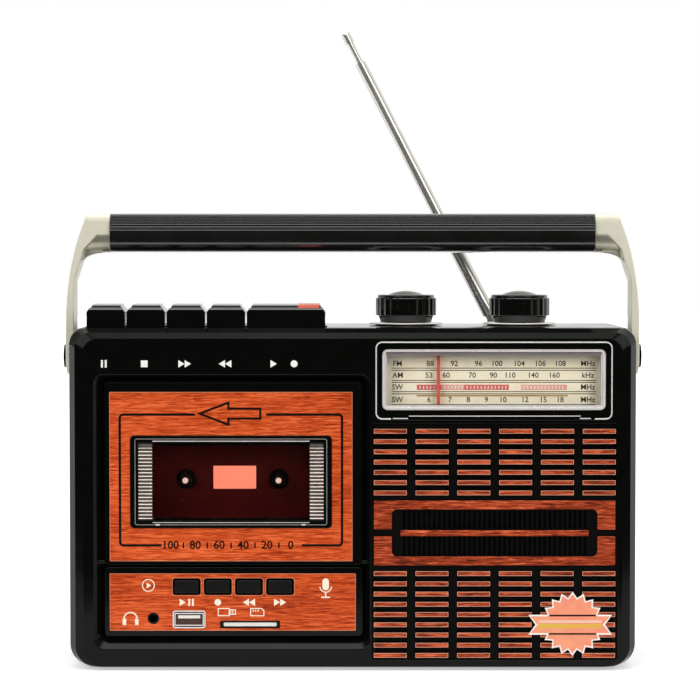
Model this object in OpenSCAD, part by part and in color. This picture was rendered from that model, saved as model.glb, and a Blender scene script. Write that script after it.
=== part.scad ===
// Radio cassette player: portable set with a tape deck, a slide-rule dial, a media panel,
// a swing-up carrying handle and a telescopic aerial. Millimetres, Z up, front towards -Y.

/* [Cabinet] */
// Cabinet width
body_w = 258; // [257:1:282]
// Cabinet height without the feet
body_h = 154; // [153:1:170]
// Cabinet depth
body_d = 86; // [85:1:100]
// Wall thickness of both shells
wall = 2.4; // [2:0.1:2.6]
// Thickness of the front panel
front_wall = 3.2; // [3:0.1:3.6]
// Corner radius at the top
top_r = 7.5; // [6:0.5:8]
// Corner radius at the bottom
bottom_r = 10; // [8:0.5:12]
// Width of the bevel round the front face
bevel_w = 3.9; // [3:0.1:4.5]
// Depth of that bevel
bevel_d = 1.6; // [1:0.1:2]
// Width of the rounded outer edge
edge_w = 3.4; // [3:0.1:3.6]
// Depth of the rounded outer edge
edge_d = 4.5; // [3:0.5:6]
// Share of the edge bands kept along the top
top_band = 0.7; // [0.5:0.05:0.8]
// Share of the edge bands kept along the bottom
bottom_band = 0.04; // [0.02:0.02:0.3]
// Depth of the front shell from front face to seam
front_depth = 59; // [58:0.5:61]
// Foot height
foot_h = 1.5; // [1:0.1:3]
// Foot diameter
foot_d = 12; // [8:0.5:16]
// Foot inset from the cabinet sides
foot_inset = 20; // [14:1:40]
// Diameter of a screw post
post_d = 6.4; // [6:0.2:7]
// Case screw shank diameter
screw_d = 2.8; // [2.4:0.1:3]
// Case screw head diameter
screw_head_d = 5.4; // [5:0.1:6]

/* [Deck bay] */
// Side margin from the cabinet side to the bay
bay_margin = 11.8; // [11:0.1:12]
// Bay width at the front face
bay_w = 125.1; // [124.5:0.1:125.5]
// Top margin from the cabinet top to the bay
bay_top = 21.2; // [20:0.1:23]
// Bottom margin from the cabinet bottom to the bay
bay_bottom = 8.2; // [7.5:0.1:9]
// Bay depth
bay_depth = 5; // [4.5:0.1:5.5]
// Corner radius of the bay
bay_r = 4.5; // [3:0.5:6]
// Slope of the left bay wall
slope_l = 4.6; // [4:0.1:5]
// Slope of the right bay wall
slope_r = 3.3; // [3:0.1:3.6]
// Slope of the top bay wall
slope_t = 3.1; // [2.5:0.1:4]
// Slope of the bottom bay wall
slope_b = 5.4; // [4.5:0.1:6]
// Thickness of the ledge at the back of the bay
rim_t = 2; // [1.6:0.1:2.4]

/* [Cassette door] */
// Clearance round the door and the panel
door_gap = 0.5; // [0.4:0.05:0.7]
// How far the door front stands behind the front face
door_set = 1.4; // [1:0.1:1.8]
// Frame width left of the wood facing
door_left = 2.2; // [1.8:0.1:3]
// Frame width right of the wood facing
door_right = 4.2; // [3.5:0.1:5]
// Frame width above the wood facing
door_top = 4.3; // [3.5:0.1:5]
// Frame width below the wood facing
door_bottom = 1.8; // [1.5:0.1:2.2]
// Thickness of the wood facings
facing_t = 1; // [0.8:0.1:1.2]
// Window bezel width
bezel_w = 91.1; // [88:0.1:94]
// Window bezel height
bezel_h = 41.9; // [40:0.1:44]
// Border of the bezel at its sides
bezel_side = 3.6; // [3:0.1:4.5]
// Border of the bezel at top and bottom
bezel_edge = 3.3; // [2.8:0.1:4]
// Width of a ribbed strip beside the window
strip_w = 6.4; // [5:0.1:7.5]
// Ridges on one ribbed strip
strip_ribs = 22; // [10:1:30]
// Window thickness
glass_t = 1.4; // [1:0.1:1.5]
// Height of the window centre above the spindles
window_rise = 0.2; // [-1:0.1:1]
// Door hinge pin diameter
door_pin_d = 1.8; // [1.6:0.1:2]

/* [Tape deck] */
// Distance between the reel spindles
spindle_gap = 42.5; // [42:0.1:43]
// Cassette width
tape_w = 100.4; // [100:0.1:101]
// Cassette height
tape_h = 63.8; // [63:0.1:64]
// Height of the spindles above the cassette edge
spindle_up = 34.1; // [33:0.1:35]
// Height of the cassette edge above the door bottom
tape_up = 3.5; // [3:0.1:5]
// Depth of the cassette space
tape_space = 13.6; // [13.4:0.1:15]
// Deck moulding thickness
well_t = 1.6; // [1.4:0.1:2]
// Space between the well floor and the chassis
deck_gap = 7; // [6.8:0.1:8]
// Chassis sheet thickness
chassis_t = 1.2; // [1:0.1:1.5]
// Spindle hub diameter
hub_d = 7.2; // [6.8:0.1:7.4]
// Reel table diameter
reel_d = 18; // [15:0.5:20]
// Spindle shaft diameter
spindle_shaft_d = 3; // [2.6:0.1:3.4]
// Capstan diameter
capstan_d = 2; // [1.8:0.1:2.2]
// Capstan distance right of the deck centre
capstan_x = 29; // [28:0.5:30]
// Capstan height above the cassette edge
capstan_up = 10; // [9.5:0.1:10.5]
// Flywheel diameter
flywheel_d = 36; // [30:1:38]
// Flywheel thickness
flywheel_t = 5; // [4.5:0.1:5.5]
// Pinch roller diameter
roller_d = 10; // [9:0.1:10.4]
// Travel of the head sled
sled_travel = 4.5; // [4:0.1:5]
// Motor diameter
motor_d = 22; // [18:0.5:26]
// Motor pulley diameter
pulley_d = 7; // [6:0.1:9]
// Belt thickness
belt_t = 1.2; // [1:0.1:1.5]

/* [Piano keys] */
// Distance from the cabinet side to the first key
key_margin = 8.1; // [7.8:0.1:8.6]
// Key pitch
key_pitch = 18.2; // [18:0.05:18.3]
// Gap between keys
key_gap = 0.7; // [0.5:0.05:0.8]
// Key height above the top
key_up = 10.3; // [8:0.1:11]
// Distance from the front face to the keys
key_set = 9; // [8:0.5:11]
// Key length front to back
key_len = 21; // [18:0.5:22]
// Distance from the key back to the key shaft
key_arm = 9; // [8:0.5:11]
// Key shaft diameter
key_shaft_d = 3; // [2.8:0.1:3.4]
// Width of the lever under a key
lever_w = 6; // [4:0.5:8]

/* [Media panel] */
// Panel height
panel_h = 31.3; // [31:0.1:31.8]
// Button cap width
button_w = 10.9; // [10:0.1:11.3]
// Button cap height
button_h = 5.9; // [5.5:0.1:6.5]
// Button pitch
button_pitch = 14.1; // [13.9:0.1:14.4]
// Button travel
button_travel = 1.2; // [0.8:0.1:1.3]
// Button row height above the panel bottom
button_up = 22.5; // [22:0.1:23]
// Clearance round the buttons
button_gap = 0.3; // [0.2:0.05:0.4]
// Dark surround left round each button
button_rim = 0.6; // [0.5:0.05:0.7]
// Media socket opening width
usb_w = 12.4; // [12.2:0.1:12.6]
// Media socket opening height
usb_h = 5; // [4.8:0.1:5.2]
// Media socket frame border
usb_border = 1.2; // [1:0.1:1.5]
// Card slot opening width
card_w = 24.6; // [24.2:0.1:25]
// Card slot opening height
card_h = 2.4; // [2.2:0.1:2.6]
// Audio jack bore diameter
jack_d = 3.6; // [3.5:0.02:3.7]
// Audio jack barrel diameter
jack_barrel_d = 5.2; // [4.8:0.1:5.6]

/* [Dial and grille] */
// Margin from the cabinet side to the dial
dial_margin = 11.8; // [11.6:0.1:12.2]
// Dial bezel width
dial_w = 106.9; // [105:0.1:107]
// Margin from the cabinet top to the dial
dial_top = 6.3; // [6:0.1:6.6]
// Dial bezel height
dial_h = 35.2; // [34.6:0.1:35.4]
// Dial bezel depth
dial_depth = 9.5; // [9.2:0.1:10.5]
// Bezel width outside the bright ring
dial_rim = 3; // [2.6:0.1:3.4]
// Bezel width below the bright ring
dial_sill = 4.2; // [3.8:0.1:4.6]
// Width of the bright ring
ring_w = 1.2; // [1:0.1:1.6]
// Corner radius of the bright ring
ring_r = 2.6; // [2:0.1:3.5]
// Width of the bright outline
outline_w = 0.6; // [0.5:0.05:0.8]
// Dial lens thickness
lens_t = 1.2; // [1:0.1:1.5]
// Dial pointer width
pointer_w = 1.5; // [1:0.1:2]
// Pointer position from the right end of the dial
pointer_x = 78.3; // [76:0.1:80]
// Pointer travel to the left
pointer_left = 14; // [13:0.5:15]
// Pointer travel to the right
pointer_right = 64.2; // [62:0.5:64.5]
// Grille columns
grille_cols = 6; // [5:1:6]
// Bar width
bar_w = 14.8; // [13:0.1:15]
// Column pitch
col_pitch = 18.86; // [18.5:0.02:18.9]
// Bar height
bar_h = 2.06; // [1.8:0.02:2.4]
// Row pitch
row_pitch = 4.65; // [4.5:0.01:4.7]
// Bar rows above the middle frame
rows_up = 7; // [5:1:7]
// Bar rows below the middle frame
rows_down = 9; // [6:1:9]
// Bar thickness
bar_t = 0.75; // [0.5:0.05:0.8]
// Grille plate thickness
grille_t = 1.4; // [1.2:0.1:1.5]
// Margin from the cabinet side to the grille plate
grille_margin = 9.5; // [9:0.1:9.8]
// Height of the middle frame
frame_h = 29.4; // [28:0.1:30]
// Fin pitch in the middle frame
fin_pitch = 2.27; // [2.2:0.01:2.6]
// Speaker diameter
speaker_d = 98; // [90:0.5:100]
// Speaker depth
speaker_depth = 44; // [38:0.5:48]

/* [Knobs] */
// Knob diameter
knob_d = 28; // [24:0.2:30]
// Knob height above the top
knob_up = 16; // [12:0.2:20]
// Flutes round a knob
knob_flutes = 24; // [18:1:36]
// Saucer ring diameter
saucer_d = 34.6; // [31:0.2:36]
// Tuning knob distance from the cabinet side
tuning_in = 51.2; // [49:0.2:54]
// Distance between the knobs
knob_gap = 52.9; // [50:0.2:54]
// Knob distance behind the front face
knob_set = 40; // [38:0.5:41]
// Control shaft diameter
shaft_d = 6; // [5:0.1:7]
// Running clearance of shafts and pins
run_gap = 0.05; // [0.03:0.01:0.1]

/* [Handle] */
// Handle pivot distance below the cabinet top
pivot_down = 14.5; // [13:0.5:16]
// Height of the grip centre above the pivot
grip_up = 57.3; // [54:0.5:70]
// Grip length
grip_len = 225; // [215:0.5:228]
// Grip height
grip_h = 18.2; // [16:0.1:20]
// Grip depth
grip_d = 21; // [18:0.5:24]
// Gap between the cabinet side and an arm
arm_gap = 0.5; // [0.4:0.05:1]
// Arm thickness at the pivot
arm_t = 3.8; // [3.2:0.1:4.4]
// Arm width front to back
arm_w = 17; // [14:0.5:18]
// Outer half span of the arms at the grip top
arm_top_x = 121; // [119:0.5:122]
// Pivot screw diameter
pivot_d = 5; // [4:0.2:6]
// Pivot cap diameter
cap_d = 11; // [9:0.5:13]
// Pivot cap thickness
cap_t = 1.2; // [1:0.1:1.6]

/* [Aerial] */
// Aerial distance from the cabinet side
aerial_in = 61; // [57:0.5:65]
// Aerial distance from the back face
aerial_set = 8.5; // [8:0.5:9.5]
// Lean of the aerial to the left
aerial_lean = 27.3; // [10:0.1:45]
// Depth of the ledge at the top rear edge
ledge_d = 17; // [16.5:0.5:18]
// Drop of that ledge
ledge_h = 8; // [7.5:0.5:9]
// Sleeve diameter at the foot of the aerial
sleeve_d = 6.2; // [5.8:0.1:6.6]
// Sleeve length
sleeve_len = 50; // [40:1:60]
// Outer tube diameter
tube_d = 5; // [4.6:0.1:5.4]
// Tube wall
tube_wall = 0.45; // [0.4:0.05:0.5]
// Distance from the pivot to the top of the outer tube
tube_len = 140; // [130:1:150]
// Length of the bare rod above the tubes
rod_out = 11; // [8:0.5:16]
// Tip cap diameter
tip_d = 4.2; // [4:0.1:5.5]
// Tip cap length
tip_len = 5; // [4:0.1:7]

/* [Back] */
// Battery bay length
cell_len = 206; // [204:1:212]
// Battery bay height
cell_h = 27; // [26.8:0.1:29]
// Battery door thickness
hatch_t = 2.2; // [2:0.1:2.4]
// Battery door margin round the bay
hatch_margin = 2.5; // [2:0.1:3]
// Clearance round the battery door
hatch_gap = 0.4; // [0.3:0.05:0.6]
// Mains inlet width
inlet_w = 20; // [18:0.5:22]
// Mains inlet height
inlet_h = 11; // [10:0.5:13]
// Travel of the band switch
switch_travel = 9; // [6:0.5:10]

/* [Hidden] */
$fn = 48;
skin = 0.01;
land = 0.1;
cut = 1;
hw = body_w / 2;
yf = -body_d / 2;
yr = body_d / 2;
z0 = foot_h;
z1 = foot_h + body_h;
seam = yf + front_depth;
corner_keep = 0.2;
seat = 0.1;

bay_x0 = -hw + bay_margin;
bay_x1 = bay_x0 + bay_w;
bay_z0 = z0 + bay_bottom;
bay_z1 = z1 - bay_top;
bay_y = yf + bay_depth;
rim_y = bay_y + rim_t;
in_x0 = bay_x0 + slope_l;
in_x1 = bay_x1 - slope_r;
in_z0 = bay_z0 + slope_b;
in_z1 = bay_z1 - slope_t;
pan_lip = 1.2;

panel_x0 = in_x0 + door_gap;
panel_x1 = in_x1 - door_gap;
panel_z0 = in_z0 + door_gap;
panel_z1 = panel_z0 + panel_h;
door_z0 = panel_z1 + 2 * door_gap;
door_z1 = in_z1 - door_gap;
door_y0 = yf + door_set;
door_y1 = bay_y - 0.2;
face_x0 = panel_x0 + door_left;
face_x1 = panel_x1 - door_right;
face_z0 = door_z0 + door_bottom;
face_z1 = door_z1 - door_top;
deck_x = (face_x0 + face_x1) / 2;
tape_z = door_z0 + tape_up;
reel_z = tape_z + spindle_up;
win_z = reel_z + window_rise;
win_w = bezel_w - 2 * bezel_side;
win_h = bezel_h - 2 * bezel_edge;
hinge_y = door_y0 + 1.4;
hinge_z = door_z0 + 1.3;
pin_len = 4.2;
guide_t = 1.4;
guide_x = tape_w / 2 + 0.5;
guide_depth = 11.4;
shelf_w = 9;
shelf_t = 1.2;
glass_ledge = 1.2;
heel_d = 0.7;

well_side = guide_x + guide_t + 1.6;
well_x0 = deck_x - well_side;
well_x1 = deck_x + well_side;
well_z0 = tape_z - 7.6;
well_z1 = tape_z + tape_h + 7;
floor_y = bay_y + tape_space;
floor_back = floor_y + well_t;
chassis_y = floor_back + deck_gap;
chassis_back = chassis_y + chassis_t;
reel_xl = deck_x - spindle_gap / 2;
reel_xr = deck_x + spindle_gap / 2;
cap_x = deck_x + capstan_x;
cap_z = tape_z + capstan_up;
drive_y = chassis_back + 20;
motor_x = deck_x - 36;
motor_z = tape_z + 16;
roller_gap = 0.3;
roller_z = cap_z - capstan_d / 2 - roller_d / 2 - roller_gap - sled_travel;
sled_y = chassis_y - 0.3 - 1.4;
slot_z0 = well_z0 + 1;
slot_z1 = tape_z + sled_travel + 3;

key_x0 = -hw + key_margin;
key_y0 = yf + key_set;
key_y1 = key_y0 + key_len;
key_top = z1 + key_up;
key_low = z1 - wall - 1.5;
shaft_y = key_y1 + key_arm;
shaft_z = z1 - wall - 5;
ear_t = 1.4;
keys_w = 6 * key_pitch;

board_y = bay_y + 12;
board_t = 1.6;
board_z1 = well_z0 - well_t - 1;
button_z = panel_z0 + button_up;
button_x0 = deck_x - 1.43 * button_pitch;
usb_x = button_x0 + 1.1;
usb_z = panel_z0 + 7.7;
card_x = usb_x + 27.6;
card_z = panel_z0 + 5.3;
jack_x = usb_x - 16.2;
jack_z = usb_z + 0.4;
panel_face_y = door_y0 + 0.1;

dial_x1 = hw - dial_margin;
dial_x0 = dial_x1 - dial_w;
dial_z1 = z1 - dial_top;
dial_z0 = dial_z1 - dial_h;
ring_x0 = dial_x0 + dial_rim;
ring_x1 = dial_x1 - dial_rim;
ring_z0 = dial_z0 + dial_sill;
ring_z1 = dial_z1 - dial_rim - 0.4;
ring_y = yf + front_wall;
dial_r = 3;
flange = 1.1;
flange_t = 1.2;
sight = ring_w + 0.9;
scale_y = yf + dial_depth;
scale_t = 1;
needle_x = dial_x1 - pointer_x;
needle_y = scale_y - 3;
clip_y = scale_y + scale_t + 0.2;
clip_t = 1.4;

grille_x1 = hw - grille_margin;
grille_w = (grille_cols - 1) * col_pitch + bar_w + 1.6;
grille_x0 = grille_x1 - grille_w;
grille_z0 = z0 + 3.6;
grille_h = (rows_up + rows_down) * row_pitch + frame_h + 3.2;
grille_z1 = grille_z0 + grille_h;
grille_y = yf + bar_t + 0.15;
grille_back = grille_y + grille_t;
bars_x = grille_x0 + 0.8;
low_row_z = grille_z0 + 0.9 + bar_h / 2;
frame_z0 = low_row_z + (rows_down - 1) * row_pitch + row_pitch / 2 + 1.4;
frame_z1 = frame_z0 + frame_h;
up_row_z = frame_z1 + 1.15 + row_pitch / 2;
frame_w = (grille_cols - 1) * col_pitch + bar_w;
frame_leg = 8.1;
frame_bar = 4;
frame_split = 3.1;
grille_ledge = 1.4;
slot_h = row_pitch - bar_h;
fin_slot = 1.2;
fin_count = floor((frame_w - 2 * frame_leg - 6.8) / fin_pitch);
fin_x0 = bars_x + frame_w / 2 - ((fin_count - 1) * fin_pitch + fin_slot) / 2;
spk_x = bars_x + frame_w / 2;
spk_z = (grille_z0 + grille_z1) / 2;
spk_ring_t = 2;
spk_y = grille_back + spk_ring_t;

tune_x = hw - tuning_in;
vol_x = tune_x - knob_gap;
knob_y = yf + knob_set;
base_z = dial_z0 + 12;
stem_z = base_z + board_t + 4;
pot_top = z1 - wall - 11;
saucer_h = 1.2;
flute_depth = 0.55;

piv_z = z1 - pivot_down;
grip_z = piv_z + grip_up;
arm_in = hw + arm_gap;
arm_out = arm_in + arm_t;
grip_top = grip_z + grip_h / 2;
grip_low = grip_z - grip_h / 2;
bend_z = grip_low - 4;
fold_x = grip_len / 2 + grip_h / 3;
fold_z = grip_z - grip_h / 22;
stub_x = grip_len / 2 + 0.68 * grip_h;
stub_y = 0.45 * arm_w;
elbow_r = 5;

aer_x = hw - aerial_in;
aer_y = yr - aerial_set;
ledge_z = z1 - ledge_h;
ledge_y = yr - ledge_d;
aer_z = ledge_z + 8;
fork_t = 1.6;
knuckle_w = 4;
knuckle_r = 3.2;
bore_gap = 0.05;
mid_d = tube_d - 2 * tube_wall - 2 * bore_gap;
rod_d = mid_d - 2 * tube_wall - 2 * bore_gap;

cell_z0 = z0 + wall + 1.8;
cell_z1 = cell_z0 + cell_h;
cell_y1 = yr - hatch_t;
cell_y0 = cell_y1 - cell_h;
cell_t = 1.6;
hatch_x = cell_len / 2 + hatch_margin;
hatch_z0 = cell_z0 - hatch_margin + 1;
hatch_z1 = cell_z1 + hatch_margin;
hatch_pin_y = yr - hatch_t / 2;
hatch_pin_z = hatch_z0 + 1.6;
hatch_pin_r = 0.8;
inlet_x = hw - 40;
inlet_z = z0 + 62;
inlet_depth = 14;
switch_y = yf + 38;
switch_z = z0 + 96;
switch_w = 7;
stem_h = 2.6;
screw_in = 12;
head_t = 1.8;
head_y = yr - 5;
cross_l = screw_head_d / 3;
cross_w = screw_head_d / 14;
foot_y0 = yf + foot_inset - 2;
foot_y1 = yr - foot_inset + 3;
posts = [
    [-hw + 6, z0 + 112], [hw - 6, z0 + 112],
    [-hw + 6, z0 + 13], [hw - 6, z0 + 13],
    [bay_x1 - 2.4, z1 - 12], [bay_x1 - 2.4, z0 + 44]
];
stands = [[vol_x - 12, 9], [(vol_x + tune_x) / 2, 9], [tune_x + 26, 9]];

// Plain helpers: boxes and prisms between two stations of one axis
module box(x0, x1, y0, y1, za, zb) {
    translate([x0, y0, za]) cube([x1 - x0, y1 - y0, zb - za]);
}
module along_y(ya, yb) {
    translate([0, yb, 0]) rotate([90, 0, 0]) linear_extrude(height = yb - ya) children();
}
module along_x(xa, xb) {
    translate([xa, 0, 0]) rotate([90, 0, 90]) linear_extrude(height = xb - xa) children();
}
module rod_y(x, z, ya, yb, r) {
    translate([x, ya, z]) rotate([-90, 0, 0]) cylinder(r = r, h = yb - ya);
}
module rod_x(xa, xb, y, z, r) {
    translate([xa, y, z]) rotate([0, 90, 0]) cylinder(r = r, h = xb - xa);
}
module plate(xa, xb, za, zb) {
    translate([xa, za]) square([xb - xa, zb - za]);
}
module round_plate(xa, xb, za, zb, r) {
    plate(xa + r, xb - r, za, zb);
    plate(xa, xb, za + r, zb - r);
    for (x = [xa + r, xb - r], z = [za + r, zb - r]) translate([x, z]) circle(r = r);
}
module frame_plate(xa, xb, za, zb, r, b) {
    difference() {
        round_plate(xa, xb, za, zb, r);
        round_plate(xa + b, xb - b, za + b, zb - b, max(r - b, 0.4));
    }
}
function arc(cx, cz, r, a) = [for (i = [0:8]) [cx + r * cos(a + i * 11.25), cz + r * sin(a + i * 11.25)]];
function corners(xa, xb, za, zb, rt, rb) = concat(
    arc(xb - rt, zb - rt, rt, 0), arc(xa + rt, zb - rt, rt, 90),
    arc(xa + rb, za + rb, rb, 180), arc(xb - rb, za + rb, rb, 270));
function case_outline(inset, w) = corners(
    -hw + inset + w, hw - inset - w, z0 + bottom_band * inset + w, z1 - top_band * inset - w,
    top_r - corner_keep * (inset + w), bottom_r - corner_keep * (inset + w));
module case_loft(stations, w) {
    hull() for (s = stations) along_y(s[0], s[1]) polygon(case_outline(s[2], w));
}

// Cabinet
module front_cabinet() {
    color([0.07, 0.07, 0.075]) difference() {
        union() {
            difference() {
                case_loft([[yf, yf + land, bevel_w + edge_w], [yf + bevel_d, yf + bevel_d + land, edge_w],
                    [yf + bevel_d + edge_d, yf + bevel_d + edge_d + land, edge_w / 6],
                    [yf + bevel_d + 2 * edge_d, seam, 0]], 0);
                case_loft([[yf + front_wall, yf + front_wall + land, edge_w],
                    [yf + bevel_d + 2 * edge_d, seam + cut, 0]], wall);
            }
            box(bay_x0 - pan_lip, bay_x1 + pan_lip, yf + front_wall - cut, rim_y,
                bay_z0 - pan_lip, bay_z1 + pan_lip);
            for (s = [-1, 1])
                rod_x(s * (hw - wall) - 1.4 - s, s * (hw - wall) + 1.4 - s, 0, piv_z, pivot_d);
            for (p = posts) rod_y(p[0], p[1], yf + front_wall - cut / 2, seam, post_d / 2);
            for (s = stands)
                translate([s[0], s[1], base_z + board_t])
                    cylinder(d = 5, h = z1 - wall / 2 - base_z - board_t);
        }
        hull() {
            along_y(yf - skin, yf) polygon(corners(bay_x0, bay_x1, bay_z0, bay_z1, bay_r, bay_r));
            along_y(bay_y - skin, bay_y)
                polygon(corners(in_x0, in_x1, in_z0, in_z1, bay_r / 2, bay_r / 2));
        }
        along_y(bay_y - cut, rim_y + cut) plate(well_x0, well_x1, tape_z - 1.5, well_z1);
        along_y(bay_y - cut, rim_y + cut)
            plate(panel_x0 + 1.8, panel_x1 - 1.8, panel_z0 + 1.8, panel_z1 - 1.2);
        along_y(yf - cut, yf + front_wall + cut)
            round_plate(dial_x0 - seat, dial_x1 + seat, dial_z0 - seat, dial_z1 + seat, dial_r);
        along_y(yf - cut, grille_back)
            round_plate(grille_x0 - seat, grille_x1 + seat, grille_z0 - seat, grille_z1 + seat, 1.4);
        along_y(yf, yf + front_wall + cut)
            plate(grille_x0 + grille_ledge, grille_x1 - grille_ledge,
                grille_z0 + grille_ledge, grille_z1 - grille_ledge);
        box(key_x0 - key_gap, key_x0 + keys_w, key_y0 - 1.4, key_y1 + key_gap, z1 - wall - cut, z1 + cut);
        for (x = [vol_x, tune_x])
            translate([x, knob_y, z1 - wall - cut]) cylinder(r = shaft_d / 2 + 1, h = wall + 2 * cut);
        for (s = [-1, 1])
            rod_x(s * hw - 6, s * hw + 6, 0, piv_z, pivot_d / 2 + run_gap);
        rod_x(panel_x0 - pin_len - 0.3, panel_x0 + cut, hinge_y, hinge_z, door_pin_d / 2 + run_gap);
        rod_x(panel_x1 - cut, panel_x1 + pin_len + 0.3, hinge_y, hinge_z, door_pin_d / 2 + run_gap);
        box(hw - wall - cut, hw + cut, switch_y - 2.3, switch_y + switch_travel + 2.3,
            switch_z - stem_h / 2 - 0.2, switch_z + stem_h / 2 + 0.2);
        for (p = posts) rod_y(p[0], p[1], seam - screw_in - 2, seam + cut, screw_d / 2 + run_gap);
    }
}
module rear_cabinet() {
    color([0.07, 0.07, 0.075]) difference() {
        union() {
            difference() {
                case_loft([[seam, yr - 9, 0], [yr - 3 - land, yr - 3, 1.2], [yr - land, yr, 4.5]], 0);
                difference() {
                    case_loft([[seam - cut, yr - 9, 0], [yr - wall - land, yr - wall, 1.6]], wall);
                    box(-hw, hw, ledge_y - wall, yr, ledge_z - wall, z1);
                    box(-cell_len / 2 - 6, cell_len / 2 + 6, cell_y1 - 2, yr, z0, cell_z1 + 6);
                    for (p = posts) rod_y(p[0], p[1], seam - 2 * cut, yr, post_d / 2);
                }
            }
            box(-cell_len / 2 - cell_t, cell_len / 2 + cell_t, cell_y0 - cell_t, cell_y1,
                z0 + wall + seat, cell_z1 + cell_t);
            box(-cell_len / 2 - cell_t, cell_len / 2 + cell_t, seam, cell_y1, z0 + wall / 2, cell_z0);
        }
        box(-hw - cut, hw + cut, ledge_y, yr + cut, ledge_z, z1 + cut);
        box(-cell_len / 2, cell_len / 2, cell_y0, yr + cut, cell_z0, cell_z1);
        box(-hatch_x, hatch_x, cell_y1, yr + cut, hatch_z0, hatch_z1);
        box(-hatch_x, hatch_x, cell_y1 - 1, yr + cut, hatch_z0, cell_z0 + cut);
        box(-9, 9, yr - 1.3, yr + cut, hatch_z1 - cut, hatch_z1 + 4);
        for (s = [-1, 1])
            rod_x(s * hatch_x - 2, s * hatch_x + 2, hatch_pin_y, hatch_pin_z, hatch_pin_r + run_gap);
        for (p = posts) {
            rod_y(p[0], p[1], seam - cut, yr, screw_d / 2 + run_gap);
            rod_y(p[0], p[1], head_y, yr + cut, screw_head_d / 2 + 0.3);
        }
        for (i = [0:13])
            box(-96 + i * 5, -93.4 + i * 5, yr - wall - cut, yr + cut, z0 + 66, z0 + 106);
        translate([aer_x, aer_y, ledge_z - wall - cut]) cylinder(r = 3 + run_gap, h = wall + 2 * cut);
        along_y(yr - wall - cut, yr + cut)
            round_plate(inlet_x - inlet_w / 2 - seat, inlet_x + inlet_w / 2 + seat,
                inlet_z - inlet_h / 2 - seat, inlet_z + inlet_h / 2 + seat, 2);
    }
}
module rubber_feet() {
    color([0.1, 0.1, 0.1])
        for (x = [-hw + foot_inset, hw - foot_inset], y = [foot_y0, foot_y1])
            translate([x, y, 0]) cylinder(d = foot_d, h = foot_h);
}
module case_screws() {
    color([0.6, 0.6, 0.6]) for (p = posts) difference() {
        union() {
            rod_y(p[0], p[1], seam - screw_in, head_y + head_t / 2, screw_d / 2);
            rod_y(p[0], p[1], head_y, head_y + head_t, screw_head_d / 2);
        }
        box(p[0] - cross_l, p[0] + cross_l, head_y + head_t / 2, yr, p[1] - cross_w, p[1] + cross_w);
        box(p[0] - cross_w, p[0] + cross_w, head_y + head_t / 2, yr, p[1] - cross_l, p[1] + cross_l);
    }
}

// Handle
module handle_pivots() {
    color([0.12, 0.12, 0.12]) for (s = [0, 1]) mirror([s, 0, 0]) {
        rod_x(hw - wall - 2, arm_out + 0.2, 0, piv_z, pivot_d / 2);
        rod_x(arm_out + 0.15, arm_out + 0.15 + cap_t, 0, piv_z, cap_d / 2);
    }
}
function grip_groove(a) = a > 3 && a < 177 && floor(a / 4) % 2 == 1 ? 0.94 : 1;
function squared(c) = sign(c) * pow(abs(c), 0.72);
function grip_point(a) = [
    grip_groove(a) * grip_d / 2 * squared(cos(a)),
    grip_z + grip_groove(a) * grip_h / 2 * squared(sin(a))];
module handle_grip() {
    color([0.08, 0.08, 0.08])
        along_x(-grip_len / 2, grip_len / 2) polygon([for (a = [0:2:358]) grip_point(a)]);
}
function curve(p, q, r) = [for (i = [0:10])
    pow(1 - i / 10, 2) * p + 2 * (i / 10) * (1 - i / 10) * q + pow(i / 10, 2) * r];
function arm_outline() = concat(
    [[arm_in, piv_z - arm_w], [arm_out, piv_z - arm_w]],
    curve([arm_out, piv_z + 9], [arm_out + 0.2, bend_z - 3.2], [arm_top_x + 3.6, grip_top - 4]),
    [for (a = [15:15:90]) [arm_top_x + 4 * cos(a) - 0.4, grip_top - 4 + 4 * sin(a)]],
    [[grip_len / 2, grip_top], [grip_len / 2, fold_z], [fold_x, fold_z]],
    curve([arm_in - 4.8, grip_low + 1.6], [arm_in - 2.3, bend_z - 3.2], [arm_in, bend_z - 9.2]));
function stub_outline() = [for (a = [0:15:180])
    [stub_y * squared(cos(a)), fold_z + 1 - (fold_z + 1 - grip_low) * squared(sin(a))]];
function fillet_outline() = concat(
    curve([fold_x - 2.4, grip_low], [arm_in - 4.6, grip_low - 0.4], [arm_in - 2.3, bend_z - 2]),
    [[arm_in - 1, grip_low + 1], [fold_x - 2.4, grip_low + 1]]);
module handle_arm(s) {
    color([0.85, 0.83, 0.78]) mirror([s, 0, 0]) difference() {
        union() {
            intersection() {
                along_y(-arm_w, arm_w) polygon(arm_outline());
                along_x(0, hw + 20) {
                    translate([0, piv_z]) circle(d = arm_w);
                    plate(-arm_w / 2, arm_w / 2, piv_z, grip_top - elbow_r);
                    round_plate(-arm_w / 2, arm_w / 2, grip_z, grip_top, elbow_r);
                }
            }
            along_x(grip_len / 2, stub_x) polygon(stub_outline());
            along_y(-0.7 * stub_y, 0.7 * stub_y) polygon(fillet_outline());
        }
        rod_x(hw, hw + 20, 0, piv_z, pivot_d / 2 + run_gap);
    }
}
module handle_arm_left() {
    handle_arm(1);
}
module handle_arm_right() {
    handle_arm(0);
}

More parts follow.
